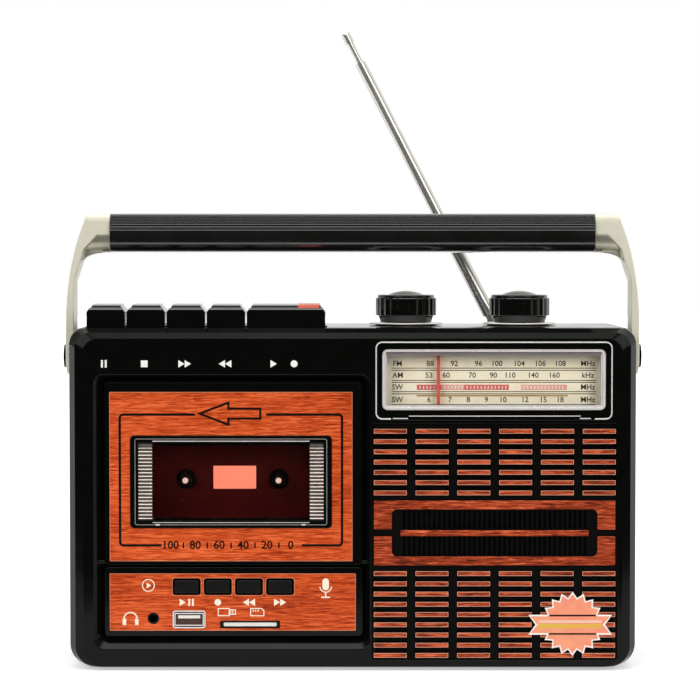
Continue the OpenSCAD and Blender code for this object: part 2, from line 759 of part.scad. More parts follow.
// Piano keys on one shaft
module piano_key(i, n) {
    xa = key_x0 + i * key_pitch;
    xb = xa + n * key_pitch - key_gap;
    xm = (xa + xb) / 2;
    color([0.08, 0.08, 0.08]) difference() {
        union() {
            intersection() {
                along_x(xa, xb) polygon([[key_y0, key_low], [key_y0 + 0.4, key_top - 2.5],
                    [key_y0 + 1.1, key_top - 1.8], [key_y1, key_top - 1.8], [key_y1, key_low]]);
                along_y(key_y0 - cut, key_y1 + cut) polygon([[xa, key_low - cut], [xa, key_top - 3.5],
                    [xa + 1.2, key_top - 1.8], [xb - 1.2, key_top - 1.8],
                    [xb, key_top - 3.5], [xb, key_low - cut]]);
            }
            intersection() {
                along_x(xa, xb) polygon([
                    [key_y0 + 3.2, key_top - 1.9], [key_y0 + 3.8, key_top - 0.5], [key_y0 + 8.6, key_top],
                    [key_y1 - 0.8, key_top], [key_y1 - 0.8, key_top - 1.9]]);
                along_y(key_y0, key_y1) polygon([[xa + 1.5, key_top - 1.9], [xa + 2.6, key_top],
                    [xb - 2.6, key_top], [xb - 1.5, key_top - 1.9]]);
            }
            box(xm - lever_w / 2, xm + lever_w / 2, key_y1 - 5, key_y1, shaft_z - 2, key_low + cut);
            box(xm - lever_w / 2, xm + lever_w / 2, key_y1 - 5, shaft_y, shaft_z - 2, shaft_z + 2.4);
            rod_x(xm - lever_w / 2, xm + lever_w / 2, shaft_y, shaft_z, key_shaft_d / 2 + 1.7);
        }
        rod_x(xa, xb, shaft_y, shaft_z, key_shaft_d / 2 + run_gap);
    }
}
module pause_key() {
    piano_key(0, 1);
}
module stop_key() {
    piano_key(1, 1);
}
module forward_key() {
    piano_key(2, 1);
}
module rewind_key() {
    piano_key(3, 1);
}
module play_key() {
    piano_key(4, 2);
}
module key_shaft() {
    color([0.7, 0.7, 0.72])
        rod_x(key_x0 - 0.5 - ear_t, key_x0 + keys_w + ear_t - 0.2, shaft_y, shaft_z, key_shaft_d / 2);
}

// Tape deck
module cassette_well() {
    color([0.09, 0.09, 0.09]) difference() {
        union() {
            box(well_x0 - well_t, well_x1 + well_t, rim_y, floor_back,
                well_z0 - well_t, well_z1 + well_t);
            for (x = [well_x0 + 6, well_x1 - 6], z = [well_z0 + 4, well_z1 - 5])
                rod_y(x, z, floor_y, chassis_y, 3);
        }
        box(well_x0, well_x1, rim_y - cut, floor_y, well_z0, well_z1);
        for (x = [reel_xl, reel_xr]) rod_y(x, reel_z, floor_y - cut, floor_back + cut, hub_d / 2 + 1);
        rod_y(cap_x, cap_z, floor_y - cut, floor_back + cut, capstan_d / 2 + 1);
        box(deck_x - 25, cap_x + 8, floor_y - cut, floor_back + cut, slot_z0, slot_z1);
    }
    color([0.09, 0.09, 0.09]) rod_y(deck_x - 23, reel_z - 9.5, floor_y - 5, floor_y + 0.5, 1.2);
}
module cassette_door() {
    bx = deck_x - bezel_w / 2;
    bz = win_z - bezel_h / 2;
    wx = deck_x - win_w / 2;
    wz = win_z - win_h / 2;
    color([0.06, 0.06, 0.065]) {
        difference() {
            union() {
                along_y(door_y0, door_y1) round_plate(panel_x0, panel_x1, door_z0, door_z1, 1.6);
                along_y(door_y0 - 0.5, door_y0 + 0.5) round_plate(bx, bx + bezel_w, bz, bz + bezel_h, 2);
                rod_x(panel_x0 - pin_len, panel_x0 + cut, hinge_y, hinge_z, door_pin_d / 2);
                rod_x(panel_x1 - cut, panel_x1 + pin_len, hinge_y, hinge_z, door_pin_d / 2);
            }
            along_y(door_y0 - cut, door_y0 + facing_t + seat) difference() {
                plate(face_x0 - seat, face_x1 + seat, face_z0 - seat, face_z1 + seat);
                round_plate(bx, bx + bezel_w, bz, bz + bezel_h, 2);
            }
            along_y(door_y0 - cut, door_y0 + glass_t + 0.2) plate(wx, wx + win_w, wz, wz + win_h);
            along_y(door_y0 - cut, door_y1 + cut)
                plate(wx + glass_ledge, wx + win_w - glass_ledge,
                    wz + glass_ledge, wz + win_h - glass_ledge);
            box(panel_x0 - cut, panel_x1 + cut, door_y1 - heel_d, door_y1 + cut, door_z0 - cut, hinge_z);
        }
        for (s = [0, 1]) translate([deck_x, 0, 0]) mirror([s, 0, 0]) {
            box(guide_x, guide_x + guide_t, door_y1 - cut / 2, bay_y + guide_depth,
                tape_z - shelf_t, tape_z + tape_h);
            box(guide_x - shelf_w, guide_x + cut, door_y1 - cut / 2, bay_y + guide_depth,
                tape_z - shelf_t, tape_z);
        }
    }
}
module door_facing() {
    color([0.62, 0.33, 0.16]) along_y(door_y0 + seat, door_y0 + seat + facing_t) difference() {
        plate(face_x0, face_x1, face_z0, face_z1);
        round_plate(deck_x - bezel_w / 2 - seat, deck_x + bezel_w / 2 + seat,
            win_z - bezel_h / 2 - seat, win_z + bezel_h / 2 + seat, 2);
    }
}
module door_window() {
    color([0.25, 0.05, 0.05]) along_y(door_y0 + 0.2, door_y0 + 0.2 + glass_t)
        plate(deck_x - win_w / 2 + strip_w, deck_x + win_w / 2 - strip_w,
            win_z - win_h / 2 + seat, win_z + win_h / 2 - seat);
}
module window_strips() {
    pitch = (win_h - 2 * seat) / strip_ribs;
    low = win_z - win_h / 2 + seat;
    back = door_y0 + 0.2 + glass_t;
    color([0.75, 0.75, 0.75]) for (xa = [deck_x - win_w / 2 + seat, deck_x + win_w / 2 - strip_w + seat])
        along_x(xa, xa + strip_w - 2 * seat) polygon(concat(
            [[back, low + win_h - 2 * seat], [back, low]],
            [for (i = [0:2 * strip_ribs]) [door_y0 + (i % 2 == 0 ? 0.6 : -0.1), low + i * pitch / 2]]));
}
module deck_chassis() {
    ear_l = key_x0 - 0.5 - ear_t;
    ear_r = key_x0 + keys_w - 0.2;
    color([0.65, 0.65, 0.62]) difference() {
        union() {
            box(well_x0 + 1, well_x1 - 1, chassis_y, chassis_back, well_z0 - 1, well_z1 + 6);
            box(ear_l, ear_r + ear_t, chassis_y, chassis_back, well_z1 + 4, well_z1 + 14);
            for (x = [ear_l, ear_r])
                along_x(x, x + ear_t) polygon([[chassis_y, well_z1 + 4], [chassis_y, shaft_z],
                    [shaft_y - 1, shaft_z + 3], [shaft_y + 2, shaft_z + 3], [shaft_y + 3.2, shaft_z + 1],
                    [shaft_y + 3.2, shaft_z - 2.6], [chassis_back + 2, well_z1 + 4]]);
            rod_y(cap_x, cap_z, chassis_y, drive_y - 0.6, 3.2);
        }
        rod_x(ear_l - cut, ear_r + ear_t + cut, shaft_y, shaft_z, key_shaft_d / 2 + run_gap);
        for (x = [reel_xl, reel_xr])
            rod_y(x, reel_z, chassis_y - cut, chassis_back + cut, spindle_shaft_d / 2 + run_gap);
        rod_y(cap_x, cap_z, chassis_y - cut, drive_y, capstan_d / 2 + run_gap);
        for (x = [deck_x - 18, deck_x + 18])
            along_y(chassis_y - cut, chassis_back + cut)
                round_plate(x - 1.25, x + 1.25, well_z0 + 5.7, well_z0 + 8.3 + sled_travel, 1.2);
    }
}
module reel_spindle(x) {
    color([0.12, 0.12, 0.12]) {
        rod_y(x, reel_z, floor_y - 7, chassis_y - 1.4, hub_d / 2 - 1);
        along_y(floor_y - 6, floor_y - 0.4) translate([x, reel_z]) for (a = [90, 210, 330])
            rotate(a) translate([0, -0.6]) square([hub_d / 2, 1.2]);
        rod_y(x, reel_z, floor_y - 8.4, floor_y - 6.5, 1.6);
        rod_y(x, reel_z, floor_back + 0.8, chassis_y - 1.2, reel_d / 2);
        rod_y(x, reel_z, floor_y, chassis_back + 1.6, spindle_shaft_d / 2);
        rod_y(x, reel_z, chassis_back + 0.2, chassis_back + 1.2, spindle_shaft_d / 2 + 1);
    }
}
module supply_spindle() {
    reel_spindle(reel_xl);
}
module take_up_spindle() {
    reel_spindle(reel_xr);
}
module grooved_wheel(x, z, r) {
    translate([x, drive_y, z]) rotate([-90, 0, 0]) rotate_extrude()
        polygon([[0, 0], [r, 0], [r, 1], [r - 0.8, 1.2], [r - 0.8, flywheel_t - 1.2],
            [r, flywheel_t - 1], [r, flywheel_t], [0, flywheel_t]]);
}
module capstan_flywheel() {
    color([0.6, 0.55, 0.4]) {
        grooved_wheel(cap_x, cap_z, flywheel_d / 2);
        rod_y(cap_x, cap_z, floor_y - 9, drive_y + cut, capstan_d / 2);
    }
}
module head_sled() {
    color([0.7, 0.7, 0.7]) {
        box(deck_x - 24, cap_x + 7, sled_y, sled_y + 1.4, well_z0 + 1.4, well_z0 + 11.6);
        rod_y(cap_x, roller_z, floor_y - 7.8, sled_y + 0.5, 1);
        for (x = [deck_x - 18, deck_x + 18])
            rod_y(x, well_z0 + 7, sled_y + 0.5, chassis_back + 1, 1.2);
    }
}
module tape_heads() {
    color([0.75, 0.75, 0.78]) for (h = [[deck_x, 6], [deck_x - 18.5, 3.5]]) {
        along_y(floor_y - 8.6, floor_y - 0.8) polygon([
            [h[0] - h[1], well_z0 + 1.8], [h[0] + h[1], well_z0 + 1.8], [h[0] + h[1], tape_z - 2],
            [h[0] + h[1] - 1.6, tape_z - 0.6], [h[0] - h[1] + 1.6, tape_z - 0.6],
            [h[0] - h[1], tape_z - 2]]);
        box(h[0] - 2.5, h[0] + 2.5, floor_y - cut, sled_y, well_z0 + 2.4, well_z0 + 5.4);
    }
}
module pinch_roller() {
    color([0.1, 0.1, 0.1]) difference() {
        rod_y(cap_x, roller_z, floor_y - 7.4, floor_y - 0.6, roller_d / 2);
        rod_y(cap_x, roller_z, floor_y - 8, floor_y, 1 + run_gap);
    }
}
module drive_motor() {
    color([0.7, 0.7, 0.7]) difference() {
        rod_y(motor_x, motor_z, chassis_back, drive_y - 0.6, motor_d / 2);
        rod_y(motor_x, motor_z, drive_y - 5, drive_y, 1 + run_gap);
    }
}
module motor_pulley() {
    color([0.7, 0.6, 0.3]) {
        grooved_wheel(motor_x, motor_z, pulley_d / 2);
        rod_y(motor_x, motor_z, drive_y - 4.6, drive_y + cut, 1);
    }
}
module belt_loop(grow) {
    hull() {
        translate([cap_x, cap_z]) circle(r = flywheel_d / 2 - 0.5 + grow);
        translate([motor_x, motor_z]) circle(r = pulley_d / 2 - 0.5 + grow);
    }
}
module drive_belt() {
    color([0.05, 0.05, 0.05]) along_y(drive_y + 1.6, drive_y + flywheel_t - 1.6) difference() {
        belt_loop(belt_t);
        belt_loop(0);
    }
}

// Media panel
module button_plates(grow, r) {
    for (i = [0:3]) translate([button_x0 + i * button_pitch, button_z])
        round_plate(-button_w / 2 - grow, button_w / 2 + grow, -button_h / 2 - grow, button_h / 2 + grow, r);
}
module card_plate(side, edge) {
    plate(card_x - card_w / 2 - side, card_x + card_w / 2 + side,
        card_z - card_h / 2 - edge, card_z + card_h / 2 + edge);
}
module socket_plate(x, z, w, h, grow) {
    plate(x - w / 2 - grow, x + w / 2 + grow, z - h / 2 - grow, z + h / 2 + grow);
}
module panel_holes(grow) {
    button_plates(button_gap + grow * button_rim, button_gap + grow);
    socket_plate(usb_x, usb_z, usb_w, usb_h, 0.5 + grow * 0.4);
    plate(usb_x - usb_w / 2, usb_x + usb_w / 2,
        usb_z - usb_h / 2 - 0.5 - grow * 0.7, usb_z + usb_h / 2 + 0.5 + grow * 0.7);
    card_plate(1.3, 0.5);
    translate([jack_x, jack_z]) circle(d = jack_barrel_d + 2 * run_gap);
}
module media_panel() {
    color([0.06, 0.06, 0.065]) {
        difference() {
            along_y(door_y0, bay_y) round_plate(panel_x0, panel_x1, panel_z0, panel_z1, 1.6);
            along_y(door_y0 - cut, door_y0 + facing_t + seat)
                plate(panel_x0 + 2, panel_x1 - 2.6, panel_z0 + 2.4, panel_z1 - 2.7);
            along_y(door_y0, bay_y + cut) panel_holes(0);
        }
        for (x = [panel_x0 + 6, panel_x1 - 6], z = [panel_z0 + 5.4, board_z1 - 3.4])
            rod_y(x, z, bay_y - 0.5, board_y, 2);
    }
}
module panel_facing() {
    color([0.62, 0.33, 0.16]) along_y(panel_face_y, panel_face_y + facing_t) difference() {
        plate(panel_x0 + 2.1, panel_x1 - 2.7, panel_z0 + 2.5, panel_z1 - 2.8);
        panel_holes(1);
    }
}
module media_button(i) {
    x = button_x0 + i * button_pitch;
    color([0.08, 0.08, 0.08]) {
        box(x - button_w / 2, x + button_w / 2, door_y0 - 0.6, bay_y + 1,
            button_z - button_h / 2, button_z + button_h / 2);
        box(x - button_w / 2 - 0.9, x + button_w / 2 + 0.9, bay_y + 0.2, bay_y + 1.4,
            button_z - button_h / 2 - 0.9, button_z + button_h / 2 + 0.9);
        rod_y(x, button_z, bay_y + 1, board_y - button_travel - 0.2, 1.6);
    }
}
module media_button_1() {
    media_button(0);
}
module media_button_2() {
    media_button(1);
}
module media_button_3() {
    media_button(2);
}
module media_button_4() {
    media_button(3);
}
module usb_socket() {
    color([0.8, 0.8, 0.8]) {
        along_y(panel_face_y - 0.6, panel_face_y) difference() {
            round_plate(usb_x - usb_w / 2 - usb_border, usb_x + usb_w / 2 + usb_border,
                usb_z - usb_h / 2 - usb_border - 0.3, usb_z + usb_h / 2 + usb_border + 0.3, 1.2);
            round_plate(usb_x - usb_w / 2 - usb_border + 0.5, usb_x + usb_w / 2 + usb_border - 0.5,
                usb_z - usb_h / 2 - usb_border + 0.2, usb_z + usb_h / 2 + usb_border - 0.2, 0.7);
        }
        along_y(panel_face_y - 0.6, board_y) difference() {
            socket_plate(usb_x, usb_z, usb_w, usb_h, 0.4);
            socket_plate(usb_x, usb_z, usb_w, usb_h, 0);
        }
        along_y(board_y - 1, board_y) socket_plate(usb_x, usb_z, usb_w, usb_h, 0);
        box(usb_x - 5.4, usb_x + 5.4, panel_face_y + 2, board_y - 0.5, usb_z + 0.2, usb_z + 1.9);
    }
}
module card_slot() {
    color([0.85, 0.85, 0.82]) difference() {
        along_y(panel_face_y - 0.2, board_y) card_plate(1.2, 0.4);
        along_y(panel_face_y - cut, board_y - 1) card_plate(0, 0);
    }
}
module audio_jack() {
    color([0.08, 0.08, 0.08]) difference() {
        rod_y(jack_x, jack_z, panel_face_y, board_y, jack_barrel_d / 2);
        rod_y(jack_x, jack_z, panel_face_y - cut, board_y - 1.5, jack_d / 2);
    }
}
module media_board() {
    color([0.1, 0.35, 0.15])
        box(panel_x0 + 3, panel_x1 - 3, board_y, board_y + board_t, panel_z0 + 2, board_z1);
}

// Dial
module dial_outline() {
    difference() {
        frame_plate(dial_x0, dial_x1, dial_z0, dial_z1, dial_r, outline_w);
        plate(dial_x0 + 7, dial_x1 - 8, dial_z0 - cut, dial_z0 + cut);
    }
}
module dial_bezel() {
    color([0.06, 0.06, 0.065]) difference() {
        union() {
            along_y(yf + 0.2, scale_y) round_plate(dial_x0, dial_x1, dial_z0, dial_z1, dial_r);
            along_y(ring_y, ring_y + flange_t)
                plate(dial_x0 - flange, dial_x1 + flange, dial_z0 - flange, dial_z1 + flange);
        }
        along_y(yf - cut, yf + 0.8) dial_outline();
        along_y(yf - cut, ring_y) round_plate(ring_x0 - seat / 2, ring_x1 + seat / 2,
            ring_z0 - seat / 2, ring_z1 + seat / 2, ring_r);
        along_y(yf, scale_y + cut)
            plate(ring_x0 + sight, ring_x1 - sight, ring_z0 + sight, ring_z1 - sight);
        along_y(ring_y + flange_t + 0.2, scale_y + cut)
            plate(ring_x0 + 0.4, ring_x1 - 0.4, ring_z0 + 0.4, ring_z1 - 0.4);
        box(needle_x - pointer_left - 5, needle_x + pointer_right + 5, needle_y - 0.8, scale_y + cut,
            ring_z1 - cut, dial_z1 + cut);
    }
}
module dial_trim() {
    color([0.85, 0.85, 0.85]) {
        along_y(yf + 0.6, ring_y) frame_plate(ring_x0, ring_x1, ring_z0, ring_z1, ring_r, ring_w);
        along_y(yf + 0.05, yf + 0.8) dial_outline();
    }
}
module dial_lens() {
    color([0.9, 0.95, 0.95, 0.4]) along_y(ring_y - lens_t, ring_y)
        round_plate(ring_x0 + ring_w + seat / 2, ring_x1 - ring_w - seat / 2,
            ring_z0 + ring_w + seat / 2, ring_z1 - ring_w - seat / 2, ring_r - ring_w);
}
module dial_scale() {
    color([0.93, 0.89, 0.74])
        box(dial_x0 + 2, dial_x1 - 2, scale_y, scale_y + scale_t, dial_z0 + 1.6, dial_z1 - 1.6);
}
module dial_pointer() {
    top = dial_z1 - 1.6;
    color([0.8, 0.1, 0.08]) {
        box(needle_x - pointer_w / 2, needle_x + pointer_w / 2, needle_y, needle_y + 1,
            ring_z0 + ring_w + 1.2, top + 1.6);
        box(needle_x - 4, needle_x + 4, needle_y, clip_y + clip_t, top + 0.2, top + 1.6);
        box(needle_x - 4, needle_x + 4, clip_y, clip_y + clip_t, top - 6, top + 1.6);
    }
}

// Controls on the top
function flute_r(i) = knob_d / 2 - (i % 4 < 2 ? 0 : flute_depth);
function flute_point(i) = flute_r(i) * [cos(i * 90 / knob_flutes), sin(i * 90 / knob_flutes)];
module control_knob(x) {
    dome_r = 0.6 * knob_d / 2;
    dome_h = 1.8;
    disc_r = 0.94 * knob_d / 2;
    ball = (dome_r * dome_r + dome_h * dome_h) / (2 * dome_h);
    color([0.07, 0.07, 0.07]) translate([x, knob_y, z1]) {
        translate([0, 0, 1.2]) cylinder(r1 = knob_d / 2 - 2.2, r2 = knob_d / 2 - 1, h = 3.6);
        translate([0, 0, 4.6]) linear_extrude(height = knob_up - 8)
            polygon([for (i = [0:4 * knob_flutes - 1]) flute_point(i)]);
        translate([0, 0, knob_up - 3.6]) cylinder(r = disc_r, h = 1.4);
        translate([0, 0, knob_up - 2.2]) cylinder(r1 = disc_r, r2 = disc_r - 0.5, h = 0.4);
        intersection() {
            translate([0, 0, knob_up - ball]) sphere(r = ball);
            translate([0, 0, knob_up - 2]) cylinder(r = dome_r, h = 4);
        }
        translate([0, 0, stem_z - z1]) cylinder(d = shaft_d, h = z1 - stem_z + 2);
    }
}
module volume_knob() {
    control_knob(vol_x);
}
module tuning_knob() {
    control_knob(tune_x);
}
module knob_saucers() {
    r = saucer_d / 2;
    color([0.85, 0.85, 0.85]) for (x = [vol_x, tune_x]) translate([x, knob_y, z1]) rotate_extrude()
        polygon([[shaft_d / 2 + 1, 0], [r - 4.2, 0], [r - 0.3, 0.6], [r, 0.9], [r - 0.4, saucer_h],
            [r - 4.4, 0.55], [shaft_d / 2 + 1, 0.55]]);
}
module main_board() {
    top = base_z + board_t;
    color([0.1, 0.35, 0.15]) difference() {
        union() {
            box(vol_x - 14.8, tune_x + 31, scale_y + 5, seam - 2, base_z, top);
            translate([vol_x, knob_y, top - 0.5]) cylinder(r = 9, h = pot_top - top + 0.5);
            box(tune_x - 10, tune_x + 10, knob_y - 10, knob_y + 10, top - 0.5, pot_top);
        }
        for (x = [vol_x, tune_x])
            translate([x, knob_y, stem_z - 1])
                cylinder(r = shaft_d / 2 + run_gap, h = pot_top - stem_z + 2);
    }
}

// Speaker
module grille_rows(first, count, from, high) {
    for (c = [0:grille_cols - 1], r = [first:first + count - 1])
        plate(bars_x + c * col_pitch, bars_x + c * col_pitch + bar_w,
            from + r * row_pitch - high / 2, from + r * row_pitch + high / 2);
}
module speaker_grille() {
    mid = (frame_z0 + frame_z1) / 2;
    color([0.05, 0.05, 0.05]) {
        along_y(grille_y, grille_back) difference() {
            round_plate(grille_x0, grille_x1, grille_z0, grille_z1, 1.4);
            grille_rows(0, rows_down - 1, low_row_z + row_pitch / 2, slot_h);
            grille_rows(0, rows_up - 1, up_row_z + row_pitch / 2, slot_h);
            for (i = [0:fin_count - 1], s = [frame_z0 + frame_bar + 0.6, mid + 1.9])
                plate(fin_x0 + i * fin_pitch, fin_x0 + i * fin_pitch + fin_slot,
                    s, s + frame_h / 2 - frame_bar - 2.5);
        }
        along_y(grille_back - 0.2, spk_y) translate([spk_x, spk_z]) difference() {
            circle(d = speaker_d);
            circle(d = speaker_d - 5);
        }
    }
}
module grille_bars() {
    mid = (frame_z0 + frame_z1) / 2;
    color([0.55, 0.27, 0.14]) along_y(yf + 0.15, grille_y) {
        grille_rows(0, rows_down, low_row_z, bar_h);
        grille_rows(0, rows_up, up_row_z, bar_h);
        difference() {
            plate(bars_x, bars_x + frame_w, frame_z0, frame_z1);
            round_plate(bars_x + frame_leg, bars_x + frame_w - frame_leg,
                frame_z0 + frame_bar, frame_z1 - frame_bar, 2.4);
            plate(bars_x - cut, bars_x + frame_w + cut, mid - frame_split / 2, mid + frame_split / 2);
        }
        plate(bars_x + frame_leg + 3.9, bars_x + frame_w - frame_leg - 3.9, mid - 1.4, mid + 1.2);
    }
}
module speaker_frame() {
    r = speaker_d / 2;
    neck = 0.51 * r;
    magnet = 0.59 * r;
    back = speaker_depth - 4;
    throat = 0.575 * back;
    color([0.35, 0.35, 0.36]) translate([spk_x, spk_y, spk_z]) rotate([-90, 0, 0]) difference() {
        rotate_extrude() polygon([[r - 6, 0], [r, 0], [r, 1.4], [r - 4.4, 1.4], [neck, throat],
            [magnet, throat + 1], [magnet, back], [0, back], [0, throat + 2], [neck - 2, throat + 1]]);
        for (a = [45:90:315])
            rotate(a) translate([0.67 * r, -r / 6, throat / 5]) cube([r, r / 3, throat / 2.3]);
    }
}
module speaker_cone() {
    r = speaker_d / 2;
    coil = r / 3;
    dip = 0.4 * speaker_depth;
    color([0.12, 0.12, 0.12]) translate([spk_x, spk_y, spk_z]) rotate([-90, 0, 0]) rotate_extrude()
        polygon([[r - 3.5, -0.8], [r - 3.5, 0], [r - 7.4, 0], [coil, dip], [0.6 * coil, dip - 2.6],
            [0, dip - 4.4], [0, dip - 5.2], [0.61 * coil, dip - 3.6], [coil, dip - 1.2], [r - 7.6, -0.8]]);
}

// Back and side
module battery_door() {
    color([0.07, 0.07, 0.075]) {
        box(-hatch_x + hatch_gap, hatch_x - hatch_gap, cell_y1, yr,
            hatch_z0 + 1.5 * hatch_gap, hatch_z1 - hatch_gap);
        for (s = [-1, 1])
            rod_x(s * hatch_x - 1.7, s * hatch_x + 1.7, hatch_pin_y, hatch_pin_z, hatch_pin_r);
    }
}
module battery_contacts() {
    cy = (cell_y0 + cell_y1) / 2;
    cz = (cell_z0 + cell_z1) / 2;
    color([0.75, 0.75, 0.72]) for (s = [0, 1]) mirror([s, 0, 0]) {
        box(cell_len / 2 - 0.6, cell_len / 2, cy - 9, cy + 9, cell_z0, cell_z1 - 4);
        along_y(cy - 4, cy + 4) polygon([[cell_len / 2 - 0.5, cz - 7], [cell_len / 2 - 4, cz],
            [cell_len / 2 - 0.5, cz + 7], [cell_len / 2 - 0.5, cz + 6], [cell_len / 2 - 3.2, cz],
            [cell_len / 2 - 0.5, cz - 6]]);
    }
}
module mains_inlet() {
    color([0.1, 0.1, 0.1]) difference() {
        union() {
            along_y(yr - wall - inlet_depth, yr - wall)
                round_plate(inlet_x - inlet_w / 2 - 2, inlet_x + inlet_w / 2 + 2,
                    inlet_z - inlet_h / 2 - 2, inlet_z + inlet_h / 2 + 2, 2);
            along_y(yr - wall - cut, yr - 0.3)
                round_plate(inlet_x - inlet_w / 2, inlet_x + inlet_w / 2,
                    inlet_z - inlet_h / 2, inlet_z + inlet_h / 2, 2);
        }
        along_y(yr - inlet_depth, yr + cut) difference() {
            round_plate(inlet_x - inlet_w / 2 + 1.6, inlet_x + inlet_w / 2 - 1.6,
                inlet_z - inlet_h / 2 + 1.6, inlet_z + inlet_h / 2 - 1.6, 2);
            for (x = [inlet_x - 4.3, inlet_x + 4.3]) translate([x, inlet_z]) circle(r = 1.2);
        }
        box(inlet_x - 7, inlet_x + 7, yr - 4, yr + cut, inlet_z - 2, inlet_z + 2);
    }
}
module band_switch() {
    color([0.1, 0.1, 0.1]) {
        box(hw + 0.2, hw + 2.4, switch_y - switch_w / 2, switch_y + switch_w / 2,
            switch_z - 3, switch_z + 3);
        box(hw - wall - 0.6, hw + cut, switch_y - 2, switch_y + 2,
            switch_z - stem_h / 2, switch_z + stem_h / 2);
        box(hw - wall - 1.8, hw - wall - 0.2, switch_y - 5, switch_y + 5, switch_z - 4, switch_z + 4);
    }
}

// Aerial
module aerial_base() {
    color([0.8, 0.8, 0.8]) {
        translate([aer_x, aer_y, ledge_z - wall - 1.8]) cylinder(r = 3, h = wall + 3);
        translate([aer_x, aer_y, ledge_z - wall - 1.8]) cylinder(r = 4.4, h = 1.6);
        translate([aer_x, aer_y, ledge_z + 0.1]) cylinder(r = 5.2, h = 2.1);
        for (y = [aer_y - knuckle_w / 2 - 0.1 - fork_t, aer_y + knuckle_w / 2 + 0.1])
            along_y(y, y + fork_t) {
                plate(aer_x - 3, aer_x + 3, ledge_z + 1, aer_z);
                translate([aer_x, aer_z]) circle(r = 3);
            }
        rod_y(aer_x, aer_z, aer_y - knuckle_w / 2 - 0.5, aer_y + knuckle_w / 2 + 0.5, 1.2);
    }
}
module leaning() {
    translate([aer_x, aer_y, aer_z]) rotate([0, -aerial_lean, 0]) children();
}
module aerial_tube() {
    color([0.85, 0.85, 0.85]) leaning() difference() {
        union() {
            rod_y(0, 0, -knuckle_w / 2, knuckle_w / 2, knuckle_r);
            box(-2.2, 2.2, -knuckle_w / 2, knuckle_w / 2, 0, 6);
            translate([0, 0, 4.6]) cylinder(d = sleeve_d, h = sleeve_len - 4.6);
            translate([0, 0, 6]) cylinder(d = tube_d, h = tube_len - 6);
        }
        rod_y(0, 0, -knuckle_w, knuckle_w, 1.2 + run_gap);
        translate([0, 0, 12]) cylinder(d = tube_d - 2 * tube_wall, h = tube_len);
    }
}
module aerial_middle() {
    color([0.85, 0.85, 0.85]) leaning() difference() {
        translate([0, 0, 14]) cylinder(d = mid_d, h = tube_len - 13.4);
        translate([0, 0, 20]) cylinder(d = mid_d - 2 * tube_wall, h = tube_len);
    }
}
module aerial_tip() {
    color([0.85, 0.85, 0.85]) leaning() {
        translate([0, 0, 26]) cylinder(d = rod_d, h = tube_len + rod_out - 25);
        translate([0, 0, tube_len + rod_out]) cylinder(d = tip_d, h = tip_len - 0.6);
        translate([0, 0, tube_len + rod_out + tip_len - 0.6])
            cylinder(d1 = tip_d, d2 = tip_d - 1.4, h = 0.6);
    }
}

front_cabinet();
rear_cabinet();
rubber_feet();
case_screws();
handle_pivots();
handle_grip();
handle_arm_left();
handle_arm_right();
pause_key();
stop_key();
forward_key();
rewind_key();
play_key();
key_shaft();
cassette_well();
cassette_door();
door_facing();
door_window();
window_strips();
deck_chassis();
supply_spindle();
take_up_spindle();
capstan_flywheel();
head_sled();
tape_heads();
pinch_roller();
drive_motor();
motor_pulley();
drive_belt();
media_panel();
panel_facing();
media_button_1();
media_button_2();
media_button_3();
media_button_4();
usb_socket();
card_slot();
audio_jack();
media_board();
dial_bezel();
dial_trim();
dial_lens();
dial_scale();
dial_pointer();
volume_knob();
tuning_knob();
knob_saucers();
main_board();
speaker_grille();
grille_bars();
speaker_frame();
speaker_cone();
battery_door();
battery_contacts();
mains_inlet();
band_switch();
aerial_base();
aerial_tube();
aerial_middle();
aerial_tip();
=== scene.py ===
import math

import bmesh
import bpy
import numpy as np
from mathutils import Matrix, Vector


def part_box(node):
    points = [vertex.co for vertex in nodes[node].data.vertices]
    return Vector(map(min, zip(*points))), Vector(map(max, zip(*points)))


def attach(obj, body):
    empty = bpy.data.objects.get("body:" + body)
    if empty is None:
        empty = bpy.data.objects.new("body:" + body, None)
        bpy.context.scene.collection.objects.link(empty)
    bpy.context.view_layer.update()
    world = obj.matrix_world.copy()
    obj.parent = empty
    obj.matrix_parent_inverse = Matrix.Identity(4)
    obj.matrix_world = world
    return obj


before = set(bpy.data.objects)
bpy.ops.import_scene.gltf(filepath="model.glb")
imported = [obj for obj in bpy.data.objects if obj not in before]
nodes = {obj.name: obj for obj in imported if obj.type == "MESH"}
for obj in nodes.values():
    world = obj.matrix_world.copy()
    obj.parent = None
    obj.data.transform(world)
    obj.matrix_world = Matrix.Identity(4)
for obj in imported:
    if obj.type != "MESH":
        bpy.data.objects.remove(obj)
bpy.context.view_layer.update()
mm = 0.001

# camera: straight on, a little above the cabinet's top, tilted slightly down
cameraSet = dict(place=(-0.0012, -1.143, 0.1900), tiltDown=2.32, lens=125.7)
cameraData = bpy.data.cameras.new("photoCamera")
cameraData.lens = cameraSet["lens"]
camera = bpy.data.objects.new("photoCamera", cameraData)
camera.location = cameraSet["place"]
camera.rotation_euler = (math.radians(90 - cameraSet["tiltDown"]), 0, 0)
bpy.context.scene.collection.objects.link(camera)
bpy.context.scene.camera = camera
bpy.context.scene.view_settings.view_transform = "Standard"


# shader helpers
def addNode(tree, kind, values=None, **settings):
    made = tree.nodes.new(kind)
    for key, value in settings.items():
        setattr(made, key, value)
    for key, value in (values or {}).items():
        made.inputs[key].default_value = value
    return made


def newGroup(name, inputs):
    # the inputs that are asked for, and the three outputs that every finish uses
    group = bpy.data.node_groups.new(name, "ShaderNodeTree")
    outputs = dict(Colour="NodeSocketColor", Roughness="NodeSocketFloat", Height="NodeSocketFloat")
    for side, sockets in (("INPUT", inputs), ("OUTPUT", outputs)):
        for label, kind in sockets.items():
            group.interface.new_socket(label, in_out=side, socket_type=kind)
    return group, group.nodes.new("NodeGroupInput"), group.nodes.new("NodeGroupOutput")


